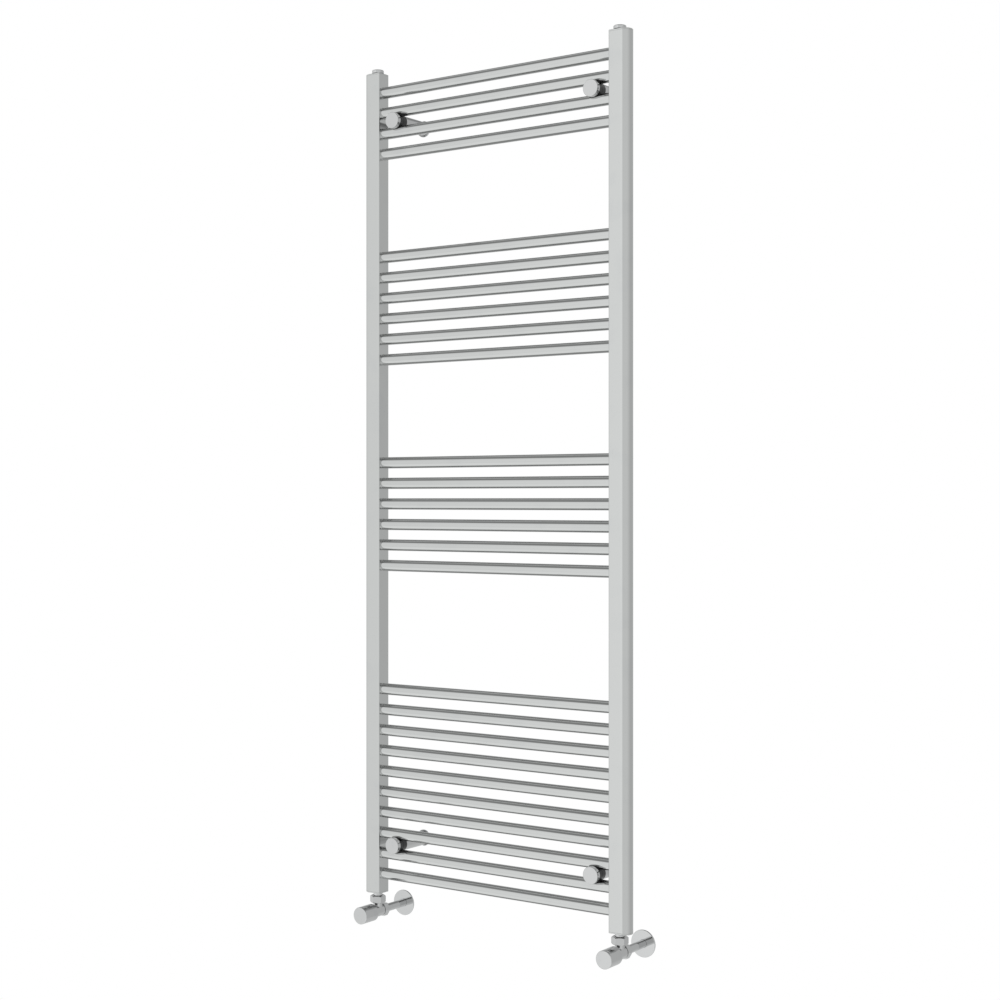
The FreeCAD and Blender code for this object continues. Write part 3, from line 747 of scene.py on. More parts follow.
def layout_tree(layout: Layout) -> bpy.types.NodeTree:
    """Make the geometry nodes that copy a piece, or find them when they have been made.

    Args:
        layout: The layout that is wanted.

    Returns:
        The tree.
    """
    found = bpy.data.node_groups.get(layout.value)
    if found:
        return found
    tree = bpy.data.node_groups.new(layout.value, "GeometryNodeTree")
    inputs = {
        Layout.ROW: (
            ("Count", "NodeSocketInt"), ("Start", "NodeSocketVector"), ("Step", "NodeSocketVector")),
        Layout.CORNERS: (("Spread", "NodeSocketFloat"), ("Rise", "NodeSocketFloat")),
    }[layout]
    tree.interface.new_socket("Piece", in_out="INPUT", socket_type="NodeSocketGeometry")
    for name, kind in (*inputs, ("Finish", "NodeSocketMaterial")):
        tree.interface.new_socket(name, in_out="INPUT", socket_type=kind)
    tree.interface.new_socket("Pieces", in_out="OUTPUT", socket_type="NodeSocketGeometry")
    nodes, links = tree.nodes, tree.links
    start, end = nodes.new("NodeGroupInput"), nodes.new("NodeGroupOutput")
    if layout is Layout.ROW:
        points = nodes.new("GeometryNodeMeshLine")
        points.mode = "OFFSET"
        links.new(start.outputs["Count"], points.inputs["Count"])
        links.new(start.outputs["Start"], points.inputs["Start Location"])
        links.new(start.outputs["Step"], points.inputs["Offset"])
        places = points.outputs["Mesh"]
    else:
        points = nodes.new("GeometryNodeMeshGrid")
        points.inputs["Vertices X"].default_value = 2
        points.inputs["Vertices Y"].default_value = 2
        links.new(start.outputs["Spread"], points.inputs["Size X"])
        links.new(start.outputs["Rise"], points.inputs["Size Y"])
        upright = nodes.new("GeometryNodeTransform")
        upright.inputs["Rotation"].default_value = (math.pi / 2, 0, 0)
        links.new(points.outputs["Mesh"], upright.inputs["Geometry"])
        places = upright.outputs["Geometry"]
    copies = nodes.new("GeometryNodeInstanceOnPoints")
    links.new(places, copies.inputs["Points"])
    links.new(start.outputs["Piece"], copies.inputs["Instance"])
    real = nodes.new("GeometryNodeRealizeInstances")
    links.new(copies.outputs["Instances"], real.inputs["Geometry"])
    dressed = nodes.new("GeometryNodeSetMaterial")
    links.new(real.outputs["Geometry"], dressed.inputs["Geometry"])
    links.new(start.outputs["Finish"], dressed.inputs["Material"])
    links.new(dressed.outputs["Geometry"], end.inputs["Pieces"])
    return tree


def laid_out(name: str, mesh: bpy.types.Mesh, layout: Layout, finish: Finish,
             **values: object) -> bpy.types.Mesh:
    """Copy a piece by geometry nodes and keep the result as one plain mesh.

    Args:
        name: Name of the result.
        mesh: The piece that is copied, built about the origin.
        layout: The layout.
        finish: The finish of every copy.
        **values: The tree's inputs by name.

    Returns:
        The mesh of all copies.
    """
    host = bpy.data.objects.new(name + "_source", mesh)
    bpy.context.scene.collection.objects.link(host)
    modifier = host.modifiers.new("Layout", "NODES")
    modifier.node_group = layout_tree(layout)
    sockets = {item.name: item.identifier for item in modifier.node_group.interface.items_tree
               if item.in_out == "INPUT"}
    for key, value in {**values, "Finish": finish.material()}.items():
        modifier[sockets[key]] = value
    graph = bpy.context.evaluated_depsgraph_get()
    graph.update()
    result = bpy.data.meshes.new_from_object(host.evaluated_get(graph), depsgraph=graph)
    host.modifiers.clear()
    bpy.data.objects.remove(host)
    result.name = name
    return result


def carved(mesh: bpy.types.Mesh, *tools: bpy.types.Mesh) -> bpy.types.Mesh:
    """Take closed skins away from another.

    Args:
        mesh: The skin that is cut.
        tools: The skins that cut it.

    Returns:
        The cut mesh.
    """
    base = bpy.data.objects.new("carved_base", mesh)
    bpy.context.scene.collection.objects.link(base)
    cutters = []
    for tool in tools:
        cutter = bpy.data.objects.new("carving_tool", tool)
        bpy.context.scene.collection.objects.link(cutter)
        modifier = base.modifiers.new("Cut", "BOOLEAN")
        modifier.operation = "DIFFERENCE"
        modifier.solver = "EXACT"
        modifier.object = cutter
        cutters.append(cutter)
    graph = bpy.context.evaluated_depsgraph_get()
    graph.update()
    result = bpy.data.meshes.new_from_object(base.evaluated_get(graph), depsgraph=graph)
    for item in (base, *cutters):
        bpy.data.objects.remove(item)
    result.shade_smooth()
    result.set_sharp_from_angle(angle=SMOOTH_LIMIT)
    return result


# ---------------------------------------------------------------------------
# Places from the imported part
# ---------------------------------------------------------------------------


def region(node: str, side: int = 0, row: int = 0) -> tuple[Vector, Vector]:
    """Box of the solids of a CAD node that lie on one side or in one row.

    Args:
        node: Name of the node.
        side: 1 for the right, -1 for the left, 0 for both.
        row: 1 for the upper, -1 for the lower, 0 for both.

    Returns:
        The lowest and the highest corner.
    """
    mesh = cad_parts[node].data
    points = np.zeros(len(mesh.vertices) * 3, np.float32)
    mesh.vertices.foreach_get("co", points)
    points = points.reshape(-1, 3)
    kept = np.ones(len(points), bool)
    if side:
        kept &= points[:, 0] * side > 0
    if row:
        kept &= points[:, 2] * row > 0
    return Vector(map(float, points[kept].min(axis=0))), Vector(map(float, points[kept].max(axis=0)))


def shown(name: str, mesh: bpy.types.Mesh, finish: Finish, body: str, *nodes: str) -> bpy.types.Object:
    """Make a piece of a finished mesh, put it on its body and let it stand for CAD nodes.

    Args:
        name: Name of the piece.
        mesh: The mesh, in place.
        finish: The finish.
        body: The body it rides on.
        *nodes: The CAD nodes it stands for.

    Returns:
        The piece.
    """
    piece = bpy.data.objects.new(name, mesh)
    bpy.context.scene.collection.objects.link(piece)
    mesh.materials.clear()
    mesh.materials.append(finish.material())
    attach(piece, body)
    if nodes:
        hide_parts(*nodes)
    log.info("%s: %d faces on %s", name, len(mesh.polygons), body)
    return piece


@dataclass
class Plan:
    """Places and radii that several sub-assemblies share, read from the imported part."""

    half_height: float = 0.0
    inner_x: float = 0.0
    outer_x: float = 0.0
    front_y: float = 0.0
    back_y: float = 0.0
    port: tuple[float, float] = (0.0, 0.0)
    rung_y: float = 0.0
    rung_radius: float = 0.0
    rung_z: list[float] = field(default_factory=list)
    valve_z: float = 0.0

    @classmethod
    def read(cls) -> "Plan":
        """Read the plan.

        Returns:
            The plan.
        """
        low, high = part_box("collector_right")
        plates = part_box("collector_end_plates")
        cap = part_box("vent_plug")
        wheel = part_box("handwheel")
        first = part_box("rung_01")
        names = sorted(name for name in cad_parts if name.startswith("rung_"))
        middles = [(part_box(name)[0].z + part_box(name)[1].z) / 2 for name in names]
        return cls(
            half_height=plates[1].z, inner_x=low.x, outer_x=high.x, front_y=low.y, back_y=high.y,
            port=((cap[0].x + cap[1].x) / 2, (cap[0].y + cap[1].y) / 2),
            rung_y=(first[0].y + first[1].y) / 2, rung_radius=(first[1].z - first[0].z) / 2,
            rung_z=middles, valve_z=(wheel[0].z + wheel[1].z) / 2)


# ---------------------------------------------------------------------------
# Sub-assemblies
# ---------------------------------------------------------------------------


@dataclass
class Rail:
    """Two D-section uprights with their end plates and ports, and the rungs between them."""

    plan: Plan
    corner: float = 2.0 * MM
    end_edge: float = 0.35 * MM
    rim_edge: float = 0.8 * MM
    edge_hold: float = 1.3
    flat_hold: float = 1.2 * MM
    braze: float = 0.6 * MM
    front_braze: float = 0.4 * MM
    braze_front: float = -0.97
    braze_span: float = 0.5
    hole_ease: float = 0.5 * MM
    hole_depth: float = 0.2 * MM
    hole_gap: float = 0.1 * MM
    bush_wall: float = 1.8 * MM
    group_gap: float = 1.5

    def section(self, inset: float) -> np.ndarray:
        """The right upright's outline, drawn in by a distance.

        Args:
            inset: The distance.

        Returns:
            Points of X and Y.
        """
        plan = self.plan
        half = (plan.back_y - plan.front_y) / 2
        middle, flat = plan.front_y + half, plan.outer_x - half
        left, front, back = plan.inner_x + inset, plan.front_y + inset, plan.back_y - inset
        radius = self.corner - inset
        keep = self.flat_hold
        points = []
        for centre_y, start in ((back - radius, 90), (front + radius, 180)):
            for step in range(ARC_STEPS + 1):
                turn = math.radians(start + 90 * step / ARC_STEPS)
                points.append((left + radius + radius * math.cos(turn),
                               centre_y + radius * math.sin(turn)))
            last = points[-1]
            if start == 90:
                points.append((left, last[1] - keep))
                points.append((left, front + radius + keep))
            else:
                points.append((last[0] + keep, front))
                points.append((flat - keep, front))
        steps = 8 * ARC_STEPS
        for step in range(steps + 1):
            turn = math.radians(-90 + 180 * step / steps)
            points.append((flat + (half - inset) * math.cos(turn),
                           middle + (half - inset) * math.sin(turn)))
        points.append((flat - keep, back))
        points.append((left + radius + keep, back))
        return np.array(points)

    def upright_rings(self, low: float, high: float, low_edge: float,
                      high_edge: float) -> list[np.ndarray]:
        """Rings of a bar of the upright's section with its ends rounded over.

        Args:
            low: Height of the lower end.
            high: Height of the upper end.
            low_edge: Rounding of the lower end.
            high_edge: Rounding of the upper end.

        Returns:
            The rings from the bottom up.
        """
        stations = []
        for step in range(ARC_STEPS + 1):
            turn = math.radians(90 * step / ARC_STEPS)
            stations.append((low_edge * (1 - math.sin(turn)), low + low_edge * (1 - math.cos(turn))))
        stations.append((0.0, low + self.edge_hold * low_edge))
        stations.append((0.0, high - self.edge_hold * high_edge))
        for step in range(ARC_STEPS + 1):
            turn = math.radians(90 * step / ARC_STEPS)
            stations.append((high_edge * (1 - math.cos(turn)), high - high_edge * (1 - math.sin(turn))))
        rings = []
        for inset, height in stations:
            section = self.section(inset)
            rings.append(np.column_stack([section, np.full(len(section), height)]))
        return rings

    def build_uprights(self) -> None:
        """The two tubes."""
        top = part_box("collector_right")[1].z
        rings = self.upright_rings(-top, top, self.end_edge, self.end_edge)
        for side in Side:
            turned = [ring * (side.value, 1, 1) for ring in rings]
            name = "upright_" + side.name.lower()
            shown(name, mesh_of(name, Shell(turned)), RAIL_CHROME, "rail",
                  "collector_" + side.name.lower())

    def build_end_plates(self) -> None:
        """Plates with a port's hole that close the tubes, and the ports' bushes."""
        plan = self.plan
        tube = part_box("collector_right")[1].z
        bush = region("port_sockets", 1, 1)
        bush_radius = (bush[1].x - bush[0].x) / 2
        centre = np.array(plan.port)
        shells = []
        for side in Side:
            for row in (1, -1):
                rings = self.upright_rings(tube, plan.half_height, self.end_edge, self.rim_edge)
                outline = rings[-1][:, :2] - centre
                unit = outline / np.linalg.norm(outline, axis=1)[:, None]
                for radius, height in (
                        (bush_radius + self.hole_ease, plan.half_height),
                        (bush_radius + self.hole_gap, plan.half_height - self.hole_depth),
                        (bush_radius + self.hole_gap, tube)):
                    hole = centre + unit * radius
                    rings.append(np.column_stack([hole, np.full(len(hole), height)]))
                shells.append(Shell([ring * (side.value, 1, row) for ring in rings], True))
        shown("end_plates", mesh_of("end_plates", *shells), RAIL_CHROME, "rail", "collector_end_plates")
        bore = bush_radius - self.bush_wall
        depth = (bush[1].z - bush[0].z) / 2
        outline = rounded([
            (bore, -depth, 0.3 * MM), (bush_radius, -depth, 0.3 * MM), (bush_radius, depth, 0.3 * MM),
            (bore, depth, 0.5 * MM)], True, 3)
        proto = mesh_of("bush", lathe((0, plan.port[1], 0), Axis.UP, outline, True, SMALL_TURNS))
        mesh = laid_out("port_bushes", proto, Layout.CORNERS, PORT_STEEL,
                        Spread=2 * plan.port[0], Rise=2 * (plan.half_height - depth))
        shown("port_bushes", mesh, PORT_STEEL, "rail", "port_sockets")

    def corner_height(self, across: np.ndarray) -> np.ndarray:
        """How far the upright's rounded front corner falls away behind its inner face.

        Args:
            across: Points about a rung's axis, two numbers each.

        Returns:
            The height of the surface at each point, 0 or less.
        """
        edge = self.plan.front_y + self.corner
        beyond = np.clip(edge - (self.plan.rung_y + across[:, 0]), 0, self.corner * 0.98)
        return -(self.corner - np.sqrt(self.corner ** 2 - beyond ** 2))

    def braze_size(self, directions: np.ndarray) -> np.ndarray:
        """Size of the braze fillet, which is smaller at the front.

        Args:
            directions: Directions round a rung, two numbers each.

        Returns:
            The size in each direction.
        """
        change = self.braze - self.front_braze
        return self.front_braze + change * ramp(directions[:, 0], self.braze_front, self.braze_span)

    def rung(self) -> bpy.types.Mesh:
        """One rung about its own middle height, with a braze fillet at each end.

        Returns:
            The rung's mesh.
        """
        plan = self.plan
        foot = branch(plan.rung_radius, self.corner_height, self.braze_size, circle(SMALL_TURNS))
        rings = []
        for side, order in ((-1, reversed(foot)), (1, foot)):
            for across, height in order:
                places = side * (plan.inner_x - height)
                rings.append(np.column_stack([places, plan.rung_y + across[:, 0], across[:, 1]]))
        return mesh_of("rung", Shell(rings))

    def build_rungs(self) -> None:
        """The rungs, in groups with a wide gap for a towel between them."""
        heights = self.plan.rung_z
        pitch = heights[0] - heights[1]
        groups: list[list[int]] = [[0]]
        for index in range(1, len(heights)):
            if heights[index - 1] - heights[index] > self.group_gap * pitch:
                groups.append([])
            groups[-1].append(index)
        for number, group in enumerate(groups, 1):
            name = f"rung_group_{number}"
            mesh = laid_out(name, self.rung(), Layout.ROW, RAIL_CHROME, Count=len(group),
                            Start=(0.0, 0.0, heights[group[0]]), Step=(0.0, 0.0, -pitch))
            shown(name, mesh, RAIL_CHROME, "rail", *(f"rung_{index + 1:02d}" for index in group))

    def build(self) -> None:
        """Build the whole rail."""
        self.build_uprights()
        self.build_end_plates()
        self.build_rungs()


@dataclass
class TopPlugs:
    """The plain plug on the left port and the vent plug on the right one."""

    plan: Plan
    edge: float = 1.6 * MM
    shank_step: float = 1.1 * MM
    neck_slope: float = 0.01 * MM
    screw_gap: float = 0.06 * MM
    seal_steps: int = 16

    def build_plug(self, name: str, node: str, side: Side) -> None:
        """One plug, with a hole for the bleed screw in the right one.

        Args:
            name: Name of the piece.
            node: The CAD node it stands for.
            side: The side it is on.
        """
        low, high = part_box(node)
        radius = (high.x - low.x) / 2
        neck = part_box("plug_o_rings")[1].z
        shank = radius - self.shank_step
        outline = [
            (0, low.z), (shank, low.z, 0.5 * MM), (shank, neck - self.neck_slope),
            (radius, neck, 0.3 * MM), (radius, high.z, self.edge)]
        if side is Side.RIGHT:
            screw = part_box("bleed_screw")
            hole = (screw[1].x - screw[0].x) / 2 + self.screw_gap
            outline += [(hole, high.z, 0.4 * MM), (hole, screw[0].z), (0, screw[0].z - 0.3 * MM)]
        else:
            outline += [(0, high.z)]
        place = (side.value * self.plan.port[0], self.plan.port[1], 0)
        shown(name, mesh_of(name, lathe(place, Axis.UP, rounded(outline), False, SMALL_TURNS)),
              FITTING_CHROME, "rail", node)

    def build_seals(self) -> None:
        """The sealing rings under both plugs."""
        port_x, port_y = self.plan.port
        low, high = region("plug_o_rings", 1)
        thick = (high.z - low.z) / 2
        major = (high.x - low.x) / 2 - thick
        turn = [math.tau * step / self.seal_steps for step in range(self.seal_steps)]
        outline = [(major + thick * math.cos(angle), thick * math.sin(angle)) for angle in turn]
        place = (0, port_y, (low.z + high.z) / 2)
        proto = mesh_of("seal", lathe(place, Axis.UP, outline, True, SMALL_TURNS))
        mesh = laid_out("plug_seals", proto, Layout.ROW, SEAL_RUBBER, Count=2,
                        Start=(-port_x, 0.0, 0.0), Step=(2 * port_x, 0.0, 0.0))
        shown("plug_seals", mesh, SEAL_RUBBER, "rail", "plug_o_rings")

    def build(self) -> None:
        """Build both plugs and their sealing rings."""
        self.build_plug("top_plug", "blanking_plug", Side.LEFT)
        self.build_plug("air_vent_plug", "vent_plug", Side.RIGHT)
        self.build_seals()


@dataclass
class Brackets:
    """Four clamps on the rungs, each on a post that slides over a cup on the wall.

    Each piece is built about the middle of one bracket and copied to the four corners.
    """

    plan: Plan
    edge: float = 0.9 * MM
    seam: float = 0.02 * MM
    front_flange: float = 1.0 * MM
    rear_flange: float = 1.5 * MM
    neck_overlap: float = 0.5 * MM
    saddle_gap: float = 0.2 * MM
    saddle_edge: float = 0.6 * MM
    saddle_end: float = 0.15 * MM
    post_bore: float = 9.5 * MM
    post_solid: float = 14.0 * MM
    grub_gap: float = 0.1 * MM
    drill_reach: float = 2.0 * MM
    cup_gap: float = 0.06 * MM
    cup_flange: float = 2.5 * MM
    cup_recess: float = 6.0 * MM
    cup_floor: float = -6.0 * MM
    screw_hole: float = 2.75 * MM

    def spread(self) -> dict[str, float]:
        """Distances between the brackets.

        Returns:
            The corner layout's inputs.
        """
        low, high = region("bracket_posts", 1, 1)
        return {"Spread": low.x + high.x, "Rise": low.z + high.z}

    def neck_rings(self, start: float, end: float, radius: float) -> list[np.ndarray]:
        """Rings of a saddle block between two rungs.

        Args:
            start: Y of its front end.
            end: Y of its rear end.
            radius: Radius of the block.

        Returns:
            The rings, about a bracket's own middle.
        """
        offset = (self.plan.rung_z[0] - self.plan.rung_z[1]) / 2
        hollow = self.plan.rung_radius + self.saddle_gap
        rings = []
        stations = np.unique(np.concatenate([
            np.linspace(start, end, 15), [start + self.saddle_end, end - self.saddle_end]]))
        for y in stations:
            depth = abs(y - self.plan.rung_y)
            limit = offset - math.sqrt(hollow ** 2 - depth ** 2) if depth < hollow else offset
            inset = self.saddle_end if y in (stations[0], stations[-1]) else 0.0
            rings.append(self.clipped_disc(min(limit, radius * 0.995) - inset, radius - inset, y))
        return rings

    def clipped_disc(self, limit: float, radius: float, y: float) -> np.ndarray:
        """A disc with its top and bottom cut off level and the corners eased.

        Args:
            limit: Height of the cuts above and below the middle.
            radius: Radius of the disc.
            y: Where the ring lies.

        Returns:
            The ring's points.
        """
        flank_steps, ease_steps = 8, 4
        ease = min(self.saddle_edge, (radius - limit) * 2)
        across = math.sqrt(max((radius - ease) ** 2 - (limit - ease) ** 2, 0.0))
        lean = math.atan2(limit - ease, across)
        quarter = []
        for step in range(flank_steps):
            turn = lean * step / flank_steps
            quarter.append((radius * math.cos(turn), radius * math.sin(turn)))
        for step in range(ease_steps + 1):
            turn = lean + (math.pi / 2 - lean) * step / ease_steps
            quarter.append((across + ease * math.cos(turn), limit - ease + ease * math.sin(turn)))
        quarter += [(across * share, limit) for share in (0.9, 0.6, 0.3)]
        right_top = quarter + [(0.0, limit)]
        left_top = [(-x, z) for x, z in reversed(quarter)]
        lower = [(-x, -z) for x, z in right_top[1:]] + [(x, -z) for x, z in reversed(quarter[1:])]
        points = right_top + left_top + lower
        return np.array([(x, y, z) for x, z in points])

    def build_fronts(self) -> None:
        """Cover discs and the front halves of the clamps."""
        cover, front = region("bracket_front_covers", 1, 1), region("bracket_front_saddles", 1, 1)
        rear = region("bracket_rear_saddles", 1, 1)
        radius, neck = (cover[1].x - cover[0].x) / 2, (rear[1].x - rear[0].x) / 2
        start = front[0].y
        end = start + self.front_flange
        disc = rounded([(0, cover[0].y), (radius, cover[0].y, self.edge), (radius, start, 0.25 * MM),
                        (0, start)])
        self.place("bracket_discs", FITTING_CHROME, "rail", ("bracket_front_covers",),
                   lathe(MIDDLE, Axis.BACK, disc))
        flange = rounded([(0, start + self.seam), (radius, start + self.seam, 0.2 * MM),
                          (radius, end, 0.35 * MM), (0, end)])
        # The front clamps' near-black colour carries painted shade of the gap between the rungs.
        self.place("bracket_front_clamps", CLAMP_BLACK_AND_GAP_SHADE, "rail", ("bracket_front_saddles",),
                   lathe(MIDDLE, Axis.BACK, flange),
                   Shell(self.neck_rings(end - self.neck_overlap, front[1].y, neck)))

    def build_rears(self) -> None:
        """The rear halves of the clamps, each with a collar for the post."""
        low, high = region("bracket_rear_saddles", 1, 1)
        neck = (high.x - low.x) / 2
        start = high.y - self.rear_flange
        collar = rounded([(0, start), (neck, start, 0.3 * MM), (neck, high.y, 0.3 * MM), (0, high.y)])
        # The rear clamps' near-black colour carries painted shade of the gap between the rungs.
        self.place("bracket_rear_clamps", CLAMP_BLACK_AND_GAP_SHADE, "rail", ("bracket_rear_saddles",),
                   lathe(MIDDLE, Axis.BACK, collar),
                   Shell(self.neck_rings(low.y, start + self.neck_overlap, neck)))

    def build_posts(self) -> None:
        """Posts, bored from behind, each with a hole for its grub screw."""
        low, high = region("bracket_posts", 1, 1)
        radius = (high.x - low.x) / 2
        bore, floor = self.post_bore, low.y + self.post_solid
        bar = rounded([(0, low.y + self.seam), (radius, low.y + self.seam, 0.5 * MM),
                       (radius, high.y, 0.7 * MM), (bore, high.y, 0.4 * MM), (bore, floor, 0.5 * MM),
                       (0, floor)])
        grub = region("bracket_grub_screws", 1, 1)
        grub_y, hole = (grub[0].y + grub[1].y) / 2, (grub[1].y - grub[0].y) / 2 + self.grub_gap
        inner, outer = bore * 0.8, radius + self.drill_reach
        drill = lathe((0, grub_y, 0), Axis.DOWN, [(0, inner), (hole, inner), (hole, outer), (0, outer)],
                      False, 32)
        mesh = carved(mesh_of("post", lathe(MIDDLE, Axis.BACK, bar)), mesh_of("drill", drill))
        self.place_mesh("bracket_stems", FITTING_CHROME, "rail", ("bracket_posts",), mesh)

    def build_cups(self) -> None:
        """Cups on the wall, with a recess for the screw's head."""
        low, high = region("bracket_wall_cups", 1, 1)
        radius = (high.x - low.x) / 2
        flange = high.y - self.cup_flange
        spigot, recess, hole = self.post_bore - self.cup_gap, self.cup_recess, self.screw_hole
        outline = rounded([
            (hole, high.y), (radius, high.y, 0.2 * MM), (radius, flange, 0.8 * MM), (spigot, flange),
            (spigot, low.y, 0.5 * MM), (recess, low.y, 0.4 * MM), (recess, self.cup_floor),
            (hole, self.cup_floor)], True)
        self.place("bracket_wall_flanges", FITTING_CHROME, "wall_cups", ("bracket_wall_cups",),
                   lathe(MIDDLE, Axis.BACK, outline, True))

    def place(self, name: str, finish: Finish, body: str, nodes: tuple[str, ...], *shells: Shell) -> None:
        """Show skins at the four corners.

        Args:
            name: Name of the piece.
            finish: The finish.
            body: The body it rides on.
            nodes: The CAD nodes it stands for.
            *shells: The skins, about a bracket's own middle.
        """
        self.place_mesh(name, finish, body, nodes, mesh_of(name + "_one", *shells))

    def place_mesh(self, name: str, finish: Finish, body: str, nodes: tuple[str, ...],
                   mesh: bpy.types.Mesh) -> None:
        """Show a mesh at the four corners.

        Args:
            name: Name of the piece.
            finish: The finish.
            body: The body it rides on.
            nodes: The CAD nodes it stands for.
            mesh: The mesh, about a bracket's own middle.
        """
        copies = laid_out(name, mesh, Layout.CORNERS, finish, **self.spread())
        shown(name, copies, finish, body, *nodes)

    def build(self) -> None:
        """Build every kind of bracket piece at the four corners."""
        self.build_fronts()
        self.build_rears()
        self.build_posts()
        self.build_cups()


@dataclass(frozen=True)
class Handle:
    """A cover on the front of a valve, with a hub inside it."""

    side: Side
    name: str
    node: str
    body: str
    hub: float
    hub_end: float
    bore: float
    bore_end: float


HANDLES = (
    Handle(Side.RIGHT, "handwheel_cover", "handwheel", "handwheel_and_spindle",
           hub=6.5 * MM, hub_end=16 * MM, bore=3.05 * MM, bore_end=5.95 * MM),
    Handle(Side.LEFT, "lockshield_cover", "lockshield_cap", "lockshield_cover_cap",
           hub=8.1 * MM, hub_end=28.1 * MM, bore=6.1 * MM, bore_end=3.0 * MM),
)


@dataclass
class Valves:
    """The angled valves with their unions, pipes, wall plates and handles."""

    plan: Plan
    barrel: float = 11.3 * MM
    thread: float = 10.0 * MM
    lap: float = 0.3 * MM
    riser: float = 9.0 * MM
    outlet: float = 11.0 * MM
    mouth: float = 4.5 * MM
    riser_fillet: float = 1.7 * MM
    riser_fillet_front: float = 0.15 * MM
    pocket: float = 7.0 * MM
    pocket_floor: float = 5.0 * MM
    pocket_lip: float = 8.0 * MM
    pocket_lip_depth: float = 7.0 * MM
    inlet: float = 7.6 * MM
    inlet_floor: float = 7.5 * MM
    union_hole: float = 8.85 * MM
    union_thread: float = 11.1 * MM
    tail_neck: float = 8.75 * MM
    tail_shank: float = 10.4 * MM
    tail_bore: float = 6.0 * MM
    tail_seat: float = 3.0 * MM
    pipe_radius: float = 7.5 * MM
    pipe_wall: float = 1.0 * MM
    pipe_nut_relief: float = 0.7 * MM
    pipe_nut_gap: float = 0.1 * MM
    pipe_nut_thread: float = 10.1 * MM
    plate_gap: float = 0.15 * MM
    plate_wall: float = 1.0 * MM
    handle_wall: float = 2.0 * MM
    handle_face: float = 3.0 * MM

    def pair(self, name: str, finish: Finish, nodes: tuple[str, ...], shell: Shell) -> None:
        """Show the same skin at both valves.

        Args:
            name: Name of the piece.
            finish: The finish.
            nodes: The CAD nodes it stands for.
            shell: The skin, at X of zero.
        """
        port_x = self.plan.port[0]
        mesh = laid_out(name, mesh_of(name + "_one", shell), Layout.ROW, finish, Count=2,
                        Start=(-port_x, 0.0, 0.0), Step=(2 * port_x, 0.0, 0.0))
        shown(name, mesh, finish, "rail", *nodes)

    def barrel_height(self, across: np.ndarray) -> np.ndarray:
        """Height of the round barrel above its own axis.

        Args:
            across: Points about the riser's axis, two numbers each.

        Returns:
            The height at each point.
        """
        widest = self.barrel * 0.99
        return np.sqrt(self.barrel ** 2 - np.clip(across[:, 0], -widest, widest) ** 2)

    def riser_fillet_size(self, directions: np.ndarray) -> np.ndarray:
        """Size of the fillet at the riser's foot, which shrinks towards the pipe's nut.

        Args:
            directions: Directions round the riser, two numbers each.

        Returns:
            The size in each direction.
        """
        change = self.riser_fillet_front - self.riser_fillet
        return self.riser_fillet + change * ramp(directions[:, 1], 0.1, 0.8)

    def barrel_skin(self, x: float) -> Shell:
        """The barrel, hollow at the front for the bonnet and at the back for the pipe.

        Args:
            x: Where it is from side to side.

        Returns:
            The skin.
        """
        low, high = region("handwheel_valve_body")
        axis_y = self.plan.port[1]
        floor, lip = axis_y + self.pocket_floor, axis_y - self.pocket_lip_depth
        lap = region("compression_nuts", 1)[0].y - self.lap
        stop = axis_y + self.inlet_floor
        outline = rounded([
            (0, floor), (self.pocket, floor), (self.pocket, lip), (self.pocket_lip, lip),
            (self.pocket_lip, low.y, 0.3 * MM), (self.barrel, low.y, 0.8 * MM),
            (self.barrel, lap, 0.5 * MM), (self.thread, lap), (self.thread, high.y, 0.3 * MM),
            (self.inlet, high.y, 0.2 * MM), (self.inlet, stop), (0, stop)])
        return lathe((x, 0, self.plan.valve_z), Axis.BACK, outline)

    def riser_skin(self, x: float) -> Shell:
        """The riser, with a wider outlet at its top and a fillet at its foot.

        Args:
            x: Where it is from side to side.

        Returns:
            The skin.
        """
        base = self.plan.valve_z
        top = region("handwheel_valve_body")[1].z
        union_low = region("union_nuts", 1)[0].z
        unit = circle()
        outline = rounded([
            (self.mouth, top), (self.outlet, top, 0.5 * MM),
            (self.outlet, union_low + 0.6 * MM, 0.3 * MM),
            (self.riser, union_low - 0.8 * MM, 0.8 * MM), (self.riser, base)])
        rings = [(unit * self.mouth, np.full(len(unit), top - base))]
        rings += [(unit * radius, np.full(len(unit), height - base)) for radius, height in outline[1:-1]]
        rings += branch(self.riser, self.barrel_height, self.riser_fillet_size, unit)
        return Shell([ring_at((x, self.plan.port[1], base), Axis.UP, across, height)
                      for across, height in rings])

    def build_bodies(self) -> None:
        """The cast bodies: a barrel towards the wall and a riser up to the union."""
        for side, name in ((Side.LEFT, "lockshield_valve"), (Side.RIGHT, "handwheel_valve")):
            x = side.value * self.plan.port[0]
            mesh = mesh_of(name, self.barrel_skin(x), self.riser_skin(x))
            shown(name + "_casting", mesh, FITTING_CHROME, "rail", name + "_body")

